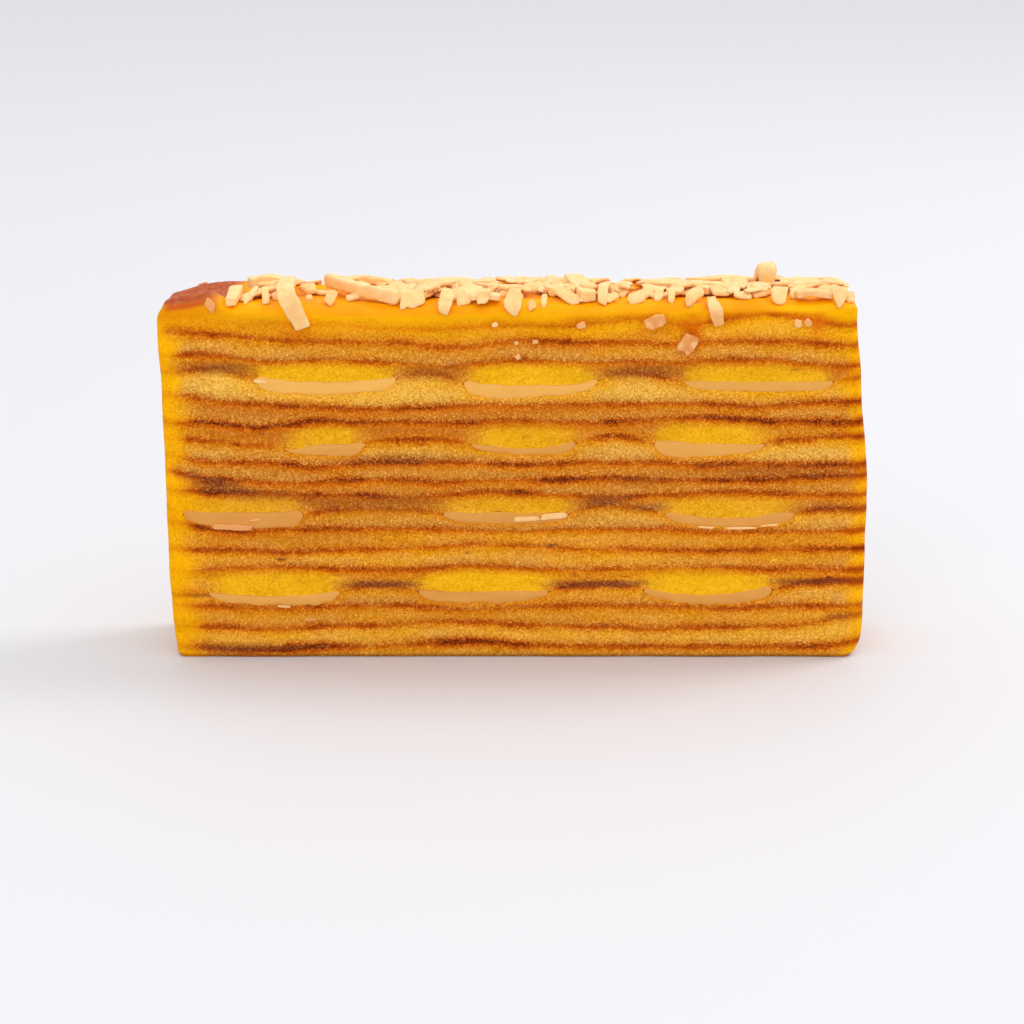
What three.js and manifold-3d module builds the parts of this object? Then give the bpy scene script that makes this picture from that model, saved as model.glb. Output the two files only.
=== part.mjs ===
// A slice of layered butter cake, cut from a half loaf and stood on its base: nineteen thin layers,
// each browned before the next was spread, four rows of three cheese strips baked in between them,
// and grated cheese scattered over the browned top.
// Millimetres, +X to the right, +Y from the front cut face to the back one, +Z up, with the origin
// under the middle of the slice with its cheese.
import * as THREE from "three";
import { mergeVertices } from "three/addons/utils/BufferGeometryUtils.js";
import Module from "manifold-3d";

const wasm = await Module();
wasm.setup();

// ---- Driving sizes ---------------------------------------------------------------------------

const HALF_WIDTH = 49.3; // from the middle to the widest point of either end
const HALF_DEPTH = 8; // half the thickness that the slice was cut to
const GAP = 0.2; // left between two neighbours

const CORNER = 0.9; // how far the upright corners are rounded off along the slice
const CORNER_DROOP = 0.7; // how far the corner is cut back across the slice
const FOOT_ROUND = 1.6; // how far the base is rounded off at the right-hand end
const FOOT_REACH = 1.5; // the height at which that rounding fades out
const LEFT_FOOT_DRAW = 0.8; // how far the left-hand end draws in towards the base
const LEFT_FOOT_REACH = 6; // the height at which that drawing in has mostly faded
const RIGHT_LEAN = 0.1; // how fast the right-hand end leans in, above its widest point
const RIGHT_LEAN_FROM = 25; // the height of that widest point
const TOP_EDGE_DROP = 1.1; // how far the browned top falls at its edges
const TOP_EDGE_REACH = 2.6; // how far in from an edge that fall begins

const DRIFT = 1.6; // how far the swells have moved along the slice at the back face
const BACK_SHARE = 0.5; // how much of each swell is left at the back face
const BACK_WAVE = 0.32; // height of the slow wave that only the back face has
const BACK_WAVE_PITCH = 11; // millimetres along the slice for each radian of that wave
const BACK_WAVE_TURN = 2.4; // how far, in radians, each layer's wave is turned from the last

const PRESS = 0.42; // how far a strip pushes the next layer out
const PRESS_FADE = 0.4; // the share of that push which each further layer passes on
const PRESS_REACH = 1.3; // how far the push reaches, in half widths of the strip
const BED_FROM = 0.85; // where a strip's bed starts to rise beside it, in half widths
const BED_TO = 1.55; // where the layer is back at its own height, in half widths
const STRIP_EDGE = 0.3; // thickness of a strip at its two thin edges
const SPINE_LEVEL = 0.4; // the share of the sag that lifts the spine above its middle height

const LAYER_FACETS = 40; // facets along a layer
const STRIP_FACETS = 10; // facets across a strip
const SHRED_FACETS = 6; // facets along a shred
const SHRED_TAPER = 0.25; // how much narrower a shred is at its ends
const TURN_FROM = 0.05; // the share of its length at which a hanging shred starts to turn over
const TURN_TO = 0.5; // the share at which it faces the front

// Each layer from the base up: the height of its browned top at the front face, and the swells of
// that top, [middle, half width, rise], where the batter lay thicker or thinner.
const LAYERS = [
  { top: 1.7, swells: [[-8, 15, 0.8], [-38, 10, -0.6], [49, 6, 0.9]] },
  { top: 4.8, swells: [[-7, 15, 0.8], [-36, 10, -0.3], [19, 9, -0.4], [49, 10, 1.7]] },
  { top: 7.8, swells: [[9, 8, 0.2], [-9, 6, -0.3]] },
  { top: 10.9, swells: [[-48, 9, -1.4], [45, 9, 0.6]] },
  { top: 13.2, swells: [[-48, 7, -0.4], [-8, 8, 0.4]] },
  { top: 16.2, swells: [[-31, 9, -0.6], [-4, 17, 0.7], [27, 10, -0.3]] },
  { top: 19.2, swells: [[-49, 7, 1.2], [40, 20, -0.4]] },
  { top: 22.1, swells: [[-29, 6, -0.3], [12, 8, 0.5]] },
  { top: 24.2, swells: [[-49, 7, 0.6], [-17, 8, -0.4], [14, 7, -0.5]] },
  { top: 26.3, swells: [[-49, 7, 1.3], [-33, 9, -0.6], [-11, 6, -0.4], [12, 9, 0.3], [46, 12, 0.6]] },
  { top: 28.8, swells: [[-49, 6, 1.1], [-28, 8, -0.2], [44, 14, -0.4]] },
  { top: 32.1, swells: [[-37, 8, -0.9], [14, 6, 0.5], [46, 8, 0.4]] },
  { top: 34.6, swells: [[-36, 7, -0.9], [30, 22, 0.4]] },
  { top: 37.2, swells: [[-48, 11, 1.1], [-16, 17, -0.6], [43, 10, 0.4]] },
  { top: 41.6, swells: [[-42, 8, 0.6], [46, 9, -1.0]] },
  { top: 43.1, swells: [[-45, 13, 1.2], [-8, 7, -0.5], [48, 10, -0.5]] },
  { top: 45.9, swells: [[-48, 22, 1.4], [-8, 10, -0.7], [25, 5, -0.4], [48, 8, -0.5]] },
  { top: 48.2, swells: [[-14, 13, -0.5], [17, 9, 1.0], [36, 13, 1.6]] },
  { top: 51.1, swells: [[-49, 7, -1.6], [-20, 12, -0.3], [33, 22, 0.5]] },
];

// Each row of strips: the layer whose top holds it, counted from 1, how far the row has moved at
// the back face, and for each strip its middle, its width and thickness, the height of its middle,
// and how far its two edges turn up.
const ROWS = [
  {
    on: 4,
    drift: 1.2,
    strips: [
      { middle: -34.3, width: 17.0, thick: 2.0, height: 9.0, sag: 0.9 },
      { middle: -4.6, width: 17.1, thick: 2.0, height: 9.3, sag: 0.5 },
      { middle: 27.1, width: 17.0, thick: 2.1, height: 9.2, sag: 1.1 },
    ],
  },
  {
    on: 8,
    drift: -1.4,
    strips: [
      { middle: -38.3, width: 15.2, thick: 2.2, height: 20.5, sag: 0.5 },
      { middle: -1.5, width: 16.4, thick: 1.8, height: 20.7, sag: 0.4 },
      { middle: 30.0, width: 16.6, thick: 1.7, height: 20.5, sag: 0.8 },
    ],
  },
  {
    on: 12,
    drift: 1.8,
    strips: [
      { middle: -26.9, width: 9.5, thick: 1.8, height: 30.5, sag: -0.1 },
      { middle: 0.9, width: 13.5, thick: 1.6, height: 30.8, sag: 0.7 },
      { middle: 26.9, width: 13.9, thick: 2.1, height: 30.8, sag: 0.4 },
    ],
  },
  {
    on: 15,
    drift: -0.9,
    strips: [
      { middle: -26.4, width: 18.0, thick: 2.1, height: 39.6, sag: 0.7 },
      { middle: 2.1, width: 17.3, thick: 2.2, height: 39.4, sag: 0.5 },
      { middle: 33.6, width: 19.3, thick: 1.9, height: 39.9, sag: 0.1 },
    ],
  },
];
const PLACES = ["left", "middle", "right"];

// The larger shreds of grated cheese that lie on the browned top, each [name, width, thickness,
// path]. The path has three points [x, y, rise of the middle of its thickness over the top].
const LYING_SHREDS = [
  ["long_curl", 1.9, 0.8, [[-26.6, 3.5, 0.7], [-22.2, -2.2, 0.7], [-16.2, -6.4, 0.6]]],
  ["thin_rear", 1.3, 0.7, [[-25.0, 6.4, 0.7], [-21.8, 5.9, 0.9], [-17.8, 4.6, 0.6]]],
  ["left_stub", 1.9, 0.9, [[-38.3, -1.4, 0.6], [-38.8, -4.4, 0.7], [-39.8, -7.5, 0.6]]],
  ["left_heap", 2.0, 1.0, [[-37.4, 0.6, 0.7], [-35.0, 2.0, 0.9], [-32.4, 1.0, 0.7]]],
  ["folded", 2.0, 0.9, [[-12.6, 5.0, 0.6], [-11.6, 0.2, 0.8], [-13.4, -5.2, 0.6]]],
  ["middle_bar", 2.2, 0.9, [[-9.4, -0.6, 0.6], [-6.4, 0.9, 0.8], [-2.6, -0.2, 0.6]]],
  ["middle_chip", 1.9, 0.8, [[-6.4, -6.2, 0.6], [-4.3, -5.8, 0.7], [-2.2, -6.3, 0.6]]],
  ["bent_rod", 2.1, 1.0, [[7.2, 6.0, 0.7], [8.6, 0.4, 1.0], [10.6, -5.9, 0.7]]],
  ["broad_flake", 3.0, 0.8, [[18.4, 2.8, 0.6], [22.6, 0.8, 0.8], [27.2, -3.0, 0.6]]],
  ["rear_bar", 2.0, 0.9, [[26.0, 6.2, 0.6], [30.2, 6.2, 0.8], [34.2, 5.2, 0.6]]],
  ["right_chunk", 2.3, 1.2, [[35.6, 6.0, 1.1], [36.4, 4.4, 1.6], [36.3, 2.4, 0.9]]],
  ["right_bar", 1.9, 0.8, [[38.6, 0.2, 0.6], [41.8, 0.9, 0.7], [44.4, -0.6, 0.6]]],
  ["rear_sliver", 1.4, 0.7, [[39.4, 5.6, 0.6], [41.6, 5.9, 0.6], [43.8, 5.2, 0.6]]],
  ["right_front", 2.0, 0.9, [[38.4, -6.1, 0.6], [40.8, -5.6, 0.8], [43.4, -6.0, 0.6]]],
];

// The shreds that hang over the front edge: the point on the top as above, then two points
// [x, distance out from the front face, height].
const HANGING_SHREDS = [
  ["hanging_bar", 2.2, 0.9, [[-31.4, 0.4, 0.8], [-31.1, 0.95, 51.6], [-29.7, 0.75, 47.4]]],
  ["hanging_chip", 2.3, 0.9, [[26.6, -5.9, 0.7], [27.2, 1.0, 50.9], [27.9, 0.75, 48.3]]],
];

// The bits that stuck to the front face on their way down, each along three such points.
const STUCK_CRUMBS = [
  ["drip_chunk", 2.4, 1.1, [[24.1, 0.75, 47.1], [23.5, 0.85, 45.8], [22.8, 0.75, 44.6]]],
  ["drip_crumb", 1.7, 0.9, [[17.6, 0.7, 48.4], [19.0, 0.8, 48.9], [20.3, 0.7, 49.4]]],
];

// ---- Shape of the loaf -----------------------------------------------------------------------

const smoothstep = THREE.MathUtils.smoothstep;
const lerp = THREE.MathUtils.lerp;

// A round hump: 1 at zero, and 0 from 1 outwards.
const bump = (t) => (Math.abs(t) < 1 ? Math.cos((t * Math.PI) / 2) ** 2 : 0);

// A curve that falls from 1 at an edge to 0 at a reach from it.
const roundOff = (distance, reach) => Math.max(0, 1 - distance / reach) ** 2;

const leftEdge = (z) => -HALF_WIDTH + LEFT_FOOT_DRAW * Math.exp(-z / LEFT_FOOT_REACH);

function rightEdge(z) {
  const lean = RIGHT_LEAN * Math.max(0, z - RIGHT_LEAN_FROM);
  return HALF_WIDTH - FOOT_ROUND * roundOff(z, FOOT_REACH) - lean;
}

// From 0 at the front face to 1 at the back one.
const deepness = (y) => (y + HALF_DEPTH) / (2 * HALF_DEPTH);

// The height of a layer's browned top as the batter settled, before any cheese bends it.
function settled(number, x, y) {
  const { top, swells } = LAYERS[number - 1];
  const deep = deepness(y);
  const rise = swells.reduce(
    (sum, [middle, half, height]) => sum + height * bump((x - middle - DRIFT * deep) / half), 0);
  const wave = BACK_WAVE * Math.sin(x / BACK_WAVE_PITCH + BACK_WAVE_TURN * number);
  return top + rise * lerp(1, BACK_SHARE, deep) + wave * deep;
}

const stripMiddle = (row, strip, y) => strip.middle + row.drift * deepness(y);
const stripSpine = (strip, across) => strip.height + strip.sag * (across ** 2 - SPINE_LEVEL);

// The height of a layer's top, bent down to the strips that lie on it, and pushed up or down by the
// strips of the other rows.
function topOf(number, x, y) {
  let z = settled(number, x, y);
  for (const row of ROWS) {
    const away = number - row.on;
    for (const strip of row.strips) {
      const across = (x - stripMiddle(row, strip, y)) / (strip.width / 2);
      if (away === 0) {
        const cover = 1 - smoothstep(Math.abs(across), BED_FROM, BED_TO);
        z = lerp(z, stripSpine(strip, THREE.MathUtils.clamp(across, -1, 1)), cover);
      } else {
        const push = PRESS * PRESS_FADE ** (Math.abs(away) - 1);
        z += Math.sign(away) * push * bump(across / PRESS_REACH);
      }
    }
  }
  return z;
}

// ---- Turning boxes into pieces ---------------------------------------------------------------

// Moves every vertex of a unit box: place gets its three shares, from 0 to 1, and returns a point.
function morph(box, place) {
  const at = box.getAttribute("position");
  for (let i = 0; i < at.count; i++) {
    at.setXYZ(i, ...place(at.getX(i) + 0.5, at.getY(i) + 0.5, at.getZ(i) + 0.5));
  }
  return box;
}

// A unit box whose underside is split along the same diagonals as its upper side, so that two
// layers which follow one surface keep the same gap all over.
function matchedBox(columns, rows) {
  const box = new THREE.BoxGeometry(1, 1, 1, columns, rows, 1);
  const index = box.getIndex().array;
  const underside = box.groups[5];
  for (let i = underside.start; i < underside.start + underside.count; i += 6) {
    const [a, b, d, , c] = index.slice(i, i + 6);
    index.set([a, b, c, a, c, d], i);
  }
  return box;
}

// Shares along a layer: one narrow facet at each rounded corner, and equal ones between them.
function columnShare(u) {
  const corner = CORNER / (2 * HALF_WIDTH);
  const column = u * LAYER_FACETS;
  if (column < 1) return corner * column;
  if (column > LAYER_FACETS - 1) return 1 - corner * (LAYER_FACETS - column);
  return lerp(corner, 1 - corner, (column - 1) / (LAYER_FACETS - 2));
}

// The point of the loaf at a share along it, at a depth and at a height.
function loafPoint(share, y, z) {
  const fromEnd = Math.min(share, 1 - share) * 2 * HALF_WIDTH;
  const inset = (CORNER_DROOP * roundOff(fromEnd, CORNER)) / HALF_DEPTH;
  return [lerp(leftEdge(z), rightEdge(z), share), y * (1 - inset), z];
}

function layerGeometry(number) {
  return morph(matchedBox(LAYER_FACETS, 1), (u, v, w) => {
    const share = columnShare(u);
    const x = (2 * share - 1) * HALF_WIDTH;
    const y = (2 * v - 1) * HALF_DEPTH;
    if (w > 0.5) return loafPoint(share, y, topOf(number, x, y) - GAP / 2);
    return loafPoint(share, y, number === 1 ? 0 : topOf(number - 1, x, y) + GAP / 2);
  });
}

// The height of the browned top of the whole loaf, which falls away at all four edges.
function crustHeight(x, y) {
  const faceFall = roundOff(HALF_DEPTH - Math.abs(y), TOP_EDGE_REACH);
  const endFall = roundOff(HALF_WIDTH - Math.abs(x), TOP_EDGE_REACH);
  return topOf(LAYERS.length, x, y) - TOP_EDGE_DROP * (1 - (1 - faceFall) * (1 - endFall));
}

// The top layer has more rows across its browned top, to follow that fall.
function topLayerGeometry() {
  const number = LAYERS.length;
  const depths = [0, 0.04, 0.15, 0.5, 0.85, 0.96, 1];
  return morph(matchedBox(LAYER_FACETS, depths.length - 1), (u, v, w) => {
    const share = columnShare(u);
    const x = (2 * share - 1) * HALF_WIDTH;
    const y = (2 * depths[Math.round(v * (depths.length - 1))] - 1) * HALF_DEPTH;
    return loafPoint(share, y, w > 0.5 ? crustHeight(x, y) : topOf(number - 1, x, y) + GAP / 2);
  });
}

// A cheese strip, thick in the middle and thin at its two edges, which runs from cut face to cut
// face. grow makes it thicker and wider, and long makes it reach past the faces.
function stripGeometry(row, strip, grow = 0, long = 0) {
  return morph(new THREE.BoxGeometry(1, 1, 1, STRIP_FACETS, 1, 1), (u, v, w) => {
    const across = 2 * u - 1;
    const y = (2 * v - 1) * (HALF_DEPTH + long);
    const thick = lerp(STRIP_EDGE, strip.thick, Math.sqrt(1 - across ** 2)) + 2 * grow;
    const x = stripMiddle(row, strip, y) + across * (strip.width / 2 + grow);
    return [x, y, stripSpine(strip, across) + (w - 0.5) * thick];
  });
}

// A ribbon of cheese along a smooth curve, a little narrower at its ends. outward gives how far its
// upper side has turned from the sky, 0, to the front, 1, at a share along the curve.
function ribbonGeometry({ width, thick }, points, outward) {
  const curve = new THREE.CatmullRomCurve3(points, false, "centripetal");
  return morph(new THREE.BoxGeometry(1, 1, 1, SHRED_FACETS, 1, 1), (u, v, w) => {
    const up = new THREE.Vector3(0, -outward(u), 1 - outward(u)).normalize();
    const side = new THREE.Vector3().crossVectors(up, curve.getTangent(u)).normalize();
    const wide = width * (1 - SHRED_TAPER * (2 * u - 1) ** 2);
    return curve.getPoint(u)
      .addScaledVector(side, (v - 0.5) * wide)
      .addScaledVector(up, (w - 0.5) * thick)
      .toArray();
  });
}

const overTop = ([x, y, rise]) => new THREE.Vector3(x, y, crustHeight(x, y) + GAP + rise);
const offFace = ([x, out, z]) => new THREE.Vector3(x, -HALF_DEPTH - out, z);

const lyingShred = (size, path) => ribbonGeometry(size, path.map(overTop), () => 0);
const stuckCrumb = (size, path) => ribbonGeometry(size, path.map(offFace), () => 1);

function hangingShred(size, [start, ...rest]) {
  const turn = (u) => smoothstep(u, TURN_FROM, TURN_TO);
  return ribbonGeometry(size, [overTop(start), ...rest.map(offFace)], turn);
}

// ---- Cutting the layers round their strips ---------------------------------------------------

function toSolid(geometry) {
  const bare = geometry.clone();
  bare.deleteAttribute("normal");
  bare.deleteAttribute("uv");
  const merged = mergeVertices(bare);
  return new wasm.Manifold(new wasm.Mesh({
    numProp: 3,
    vertProperties: merged.getAttribute("position").array,
    triVerts: new Uint32Array(merged.index.array),
  }));
}

function toGeometry(solid) {
  const { vertProperties, triVerts } = solid.getMesh();
  return new THREE.BufferGeometry()
    .setAttribute("position", new THREE.BufferAttribute(vertProperties, 3))
    .setIndex(new THREE.BufferAttribute(triVerts, 1));
}

// A layer with room cut out of it for the strips under it or on it.
function cutRound(geometry, number) {
  const touching = ROWS.filter(({ on }) => on === number || on === number - 1);
  if (!touching.length) return geometry;
  const cutters = touching.flatMap((row) =>
    row.strips.map((strip) => toSolid(stripGeometry(row, strip, GAP, 1))));
  return toGeometry(cutters.reduce((left, cutter) => left.subtract(cutter), toSolid(geometry)));
}

// ---- Materials and assembly ------------------------------------------------------------------

const sponge = () => new THREE.MeshStandardMaterial({ color: 0xe0a038, roughness: 0.85 });
const brownedTop = () => new THREE.MeshStandardMaterial({ color: 0xe88a14, roughness: 0.45 });
const bakedCheese = () => new THREE.MeshStandardMaterial({ color: 0xdf9f4c, roughness: 0.5 });
const gratedCheese = () => new THREE.MeshStandardMaterial({ color: 0xfbd79c, roughness: 0.4 });

function piece(name, geometry, material) {
  const mesh = new THREE.Mesh(geometry, material);
  mesh.name = name;
  return mesh;
}

const twoDigits = (number) => String(number).padStart(2, "0");

const loaf = new THREE.Group();
for (let number = 1; number < LAYERS.length; number++) {
  loaf.add(piece(`layer_${twoDigits(number)}`, cutRound(layerGeometry(number), number), sponge()));
}
loaf.add(piece(`layer_${LAYERS.length}_top`, topLayerGeometry(), brownedTop()));

const filling = new THREE.Group();
ROWS.forEach((row, r) => row.strips.forEach((strip, s) => {
  filling.add(piece(`strip_row_${r + 1}_${PLACES[s]}`, stripGeometry(row, strip), bakedCheese()));
}));

const topping = new THREE.Group();
for (const [shreds, shape] of [
  [LYING_SHREDS, lyingShred],
  [HANGING_SHREDS, hangingShred],
  [STUCK_CRUMBS, stuckCrumb],
]) {
  for (const [name, width, thick, path] of shreds) {
    topping.add(piece(`shred_${name}`, shape({ width, thick }, path), gratedCheese()));
  }
}

const slice = new THREE.Group();
slice.add(loaf, filling, topping);

// Stands the slice on the origin, with the middle of its box over it.
const middle = new THREE.Box3().setFromObject(slice).getCenter(new THREE.Vector3());
slice.position.set(-middle.x, -middle.y, 0);

export default slice;
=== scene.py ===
"""A slice of lapis legit, the many-layered butter cake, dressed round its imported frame.

Nineteen thin sponge layers, each browned before the next was spread, hold four rows of three
cheese strips. Grated cheese lies over the browned top and hangs over its front edge. All sizes
are in millimetres until a mesh is made; +X runs to the right, +Y from the front cut face to the
back one, and +Z up.
"""

import logging
import math
from collections.abc import Sequence
from dataclasses import dataclass, field
from enum import Enum
from typing import ClassVar

import bpy
import numpy as np
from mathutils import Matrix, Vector
from mathutils.bvhtree import BVHTree


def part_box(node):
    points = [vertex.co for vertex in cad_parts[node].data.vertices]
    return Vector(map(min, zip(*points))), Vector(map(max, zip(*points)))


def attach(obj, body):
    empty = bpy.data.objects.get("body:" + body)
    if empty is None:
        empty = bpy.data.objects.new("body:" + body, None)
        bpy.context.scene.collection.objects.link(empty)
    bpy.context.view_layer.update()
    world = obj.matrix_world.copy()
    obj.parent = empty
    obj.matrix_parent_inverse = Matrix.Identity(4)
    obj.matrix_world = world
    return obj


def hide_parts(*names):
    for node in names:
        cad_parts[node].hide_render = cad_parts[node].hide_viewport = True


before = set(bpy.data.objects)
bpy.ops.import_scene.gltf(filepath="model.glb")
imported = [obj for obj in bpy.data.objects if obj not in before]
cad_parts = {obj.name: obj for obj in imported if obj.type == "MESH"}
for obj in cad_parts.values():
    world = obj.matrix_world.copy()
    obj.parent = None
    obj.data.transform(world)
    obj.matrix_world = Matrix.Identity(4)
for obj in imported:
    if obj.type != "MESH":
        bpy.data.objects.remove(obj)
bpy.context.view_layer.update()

MM = 0.001
BODY = "root"

log = logging.getLogger("lapis")

Array = np.ndarray
Colour = tuple[float, float, float, float]
Span = tuple[float, float]
Triple = tuple[float, float, float]
Node = bpy.types.Node
Tree = bpy.types.NodeTree
Socket = bpy.types.NodeSocket
Material = bpy.types.Material
Mesh = bpy.types.Mesh
Thing = bpy.types.Object


# ---- Small maths --------------------------------------------------------------------------------


def tone(red: int, green: int, blue: int) -> Colour:
    """The linear colour that shaders use for one that a display shows as 0 to 255."""
    linear = [((part / 255 + 0.055) / 1.055) ** 2.4 for part in (red, green, blue)]
    return (linear[0], linear[1], linear[2], 1.0)


def ease(value: Array | float, start: float, end: float) -> Array:
    """A smooth share, 0 where the value is start and 1 where it is end, which may be lower."""
    share = np.clip((value - start) / (end - start), 0.0, 1.0)
    return share * share * (3.0 - 2.0 * share)


def blend(low: Array | float, high: Array | float, share: Array | float) -> Array:
    """The value a share of the way from low to high."""
    return low + (high - low) * share


def grid_places(columns: Sequence[int], rows: Sequence[int]) -> tuple[Array, Array]:
    """The column and the row of every place of a grid, column by column."""
    across, along = np.meshgrid(columns, rows, indexing="ij")
    return across.ravel(), along.ravel()


def squares(index: Array) -> Array:
    """The four-cornered faces of a grid of points, given their places."""
    corners = (index[:-1, :-1], index[1:, :-1], index[1:, 1:], index[:-1, 1:])
    return np.stack(corners, axis=-1).reshape(-1, 4)


class Unevenness:
    """Smooth seeded unevenness: a value from -1 to 1 at every point of the slice."""

    SIDE = 32

    def __init__(self, seed: int) -> None:
        """Draws the lattice from a seed."""
        side = self.SIDE
        self.lattice = np.random.default_rng(seed).uniform(-1.0, 1.0, (side, side, side))

    def at(self, points: Array, size: float | Triple) -> Array:
        """Reads the unevenness.

        Args:
            points: Points in mm, one row each.
            size: Size of a swell in mm, or one size for each direction.

        Returns:
            One value from -1 to 1 a point.
        """
        scaled = points / np.asarray(size, float)
        cell = np.floor(scaled).astype(int)
        share = scaled - cell
        share = share * share * (3.0 - 2.0 * share)
        total = np.zeros(len(points))
        for corner in range(8):
            step = np.array([corner & 1, corner >> 1 & 1, corner >> 2 & 1])
            weight = np.where(step, share, 1.0 - share).prod(axis=1)
            x, y, z = ((cell + step) % self.SIDE).T
            total += weight * self.lattice[x, y, z]
        return total


SWELL = Unevenness(11)
GRIT = Unevenness(23)
DRIFT = Unevenness(37)

Wave = tuple[Unevenness, float, float | Triple]
Waves = tuple[Wave, ...]


def uneven(points: Array, waves: Waves) -> Array:
    """Adds up waves, each of them a kind of unevenness, its strength and its size in mm."""
    return sum(strength * kind.at(points, size) for kind, strength, size in waves)


def at_height(x: Array, y: Array, height: float) -> Array:
    """Points of one height; a height of its own gives each layer unevenness of its own."""
    return np.stack([x, y, np.full(len(x), height)], axis=1)


# ---- Reading the frame --------------------------------------------------------------------------


class CadSolid:
    """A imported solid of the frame, measured by rays in millimetres."""

    FAR = 500.0
    LEVEL = 0.6

    def __init__(self, name: str) -> None:
        """Takes the faces and the box of a CAD node.

        Args:
            name: The node.
        """
        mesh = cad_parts[name].data
        corners = [vertex.co / MM for vertex in mesh.vertices]
        self.tree = BVHTree.FromPolygons(corners, [tuple(p.vertices) for p in mesh.polygons])
        self.low, self.high = (np.array(corner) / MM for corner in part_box(name))

    def height(self, x: float, y: float, upper: bool) -> float:
        """Measures the solid's upper or under side.

        Args:
            x: Place along the slice.
            y: Place across it.
            upper: Whether the upper side is wanted.

        Returns:
            Its height, or not-a-number where the solid isn't.
        """
        way = -1.0 if upper else 1.0
        start = Vector((x, y, -way * self.FAR))
        hit, normal, _, _ = self.tree.ray_cast(start, Vector((0, 0, way)))
        return hit.z if hit and abs(normal.z) > self.LEVEL else math.nan

    def end(self, y: float, z: float, right: bool) -> float:
        """Measures the solid's left or right end.

        Args:
            y: Place across the slice.
            z: Height.
            right: Whether the right-hand end is wanted.

        Returns:
            Its place along the slice, or not-a-number.
        """
        way = -1.0 if right else 1.0
        hit = self.tree.ray_cast(Vector((-way * self.FAR, y, z)), Vector((way, 0, 0)))[0]
        return hit.x if hit else math.nan


@dataclass
class HeightSheet:
    """A surface through the slice, as heights over a grid along and across it."""

    xs: Array
    ys: Array
    z: Array

    @classmethod
    def measured(cls, solid: CadSolid, xs: Array, ys: Array, upper: bool) -> "HeightSheet":
        """Samples one side of a layer and fills what is missing from its nearest neighbours.

        Args:
            solid: The layer.
            xs: Places along the slice.
            ys: Places across it.
            upper: Whether its upper side is wanted.

        Returns:
            The side's heights.
        """
        z = np.array([[solid.height(x, y, upper) for y in ys] for x in xs])
        places = np.arange(len(xs))
        for column in z.T:
            known = ~np.isnan(column)
            column[:] = np.interp(places, places[known], column[known])
        return cls(xs, ys, z)

    def with_heights(self, z: Array) -> "HeightSheet":
        """A sheet over the same grid with other heights."""
        return HeightSheet(self.xs, self.ys, z)

    def eased(self, reach: float) -> "HeightSheet":
        """Rounds the sheet's facets off.

        Args:
            reach: How far along the slice each height is shared out, in mm.

        Returns:
            The smoother sheet.
        """
        step = self.xs[1] - self.xs[0]
        half = int(3 * reach / step)
        weights = np.exp(-0.5 * (np.arange(-half, half + 1) * step / reach) ** 2)
        weights /= weights.sum()
        padded = np.pad(self.z, ((half, half), (0, 0)), mode="edge")
        smooth = [np.convolve(column, weights, mode="valid") for column in padded.T]
        return self.with_heights(np.stack(smooth, axis=1))

    def at(self, x: Array, y: Array) -> Array:
        """Reads the heights at places of the slice.

        Args:
            x: Places along it.
            y: Places across it.

        Returns:
            The heights.
        """
        along = np.clip((x - self.xs[0]) / (self.xs[1] - self.xs[0]), 0, len(self.xs) - 1.001)
        i = along.astype(int)
        across = np.interp(y, self.ys, np.arange(len(self.ys)))
        j = np.clip(across.astype(int), 0, len(self.ys) - 2)
        front = blend(self.z[i, j], self.z[i + 1, j], along - i)
        back = blend(self.z[i, j + 1], self.z[i + 1, j + 1], along - i)
        return blend(front, back, across - j)


@dataclass(frozen=True)
class StripShape:
    """How a strip sits in the layers.

    Its upper side stands so many mm over the layers' boundary at its left end, in its middle and
    at its right end. Its depth is a share of the CAD strip's, and leans to grow to the right.
    """

    left: float
    middle: float
    right: float
    deep: float = 1.0
    lean: float = 0.0


STRIP_SHAPES = {
    1: (StripShape(0.3, 0.55, 0.25, lean=0.15), StripShape(0.55, 0.9, 0.35, lean=-0.2),
        StripShape(0.4, 0.6, 0.8, 0.8, 0.15)),
    2: (StripShape(0.8, 1.3, 1.0, 1.1, 0.4), StripShape(0.6, 1.0, 0.6, 0.8),
        StripShape(0.6, 0.6, 0.7, 0.95)),
    3: (StripShape(0.0, 0.95, 1.0, 0.9, 0.35), StripShape(0.45, 0.2, 0.8, 0.85, 0.3),
        StripShape(1.0, 0.95, 0.1, 1.0, -0.4)),
    4: (StripShape(1.0, 1.1, 0.85, 0.9, -0.1), StripShape(0.8, 0.6, 0.6, 1.1, -0.4),
        StripShape(0.45, 0.5, 0.45)),
}
STRIP_LAYERS = {1: 4, 2: 8, 3: 12, 4: 15}


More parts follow.
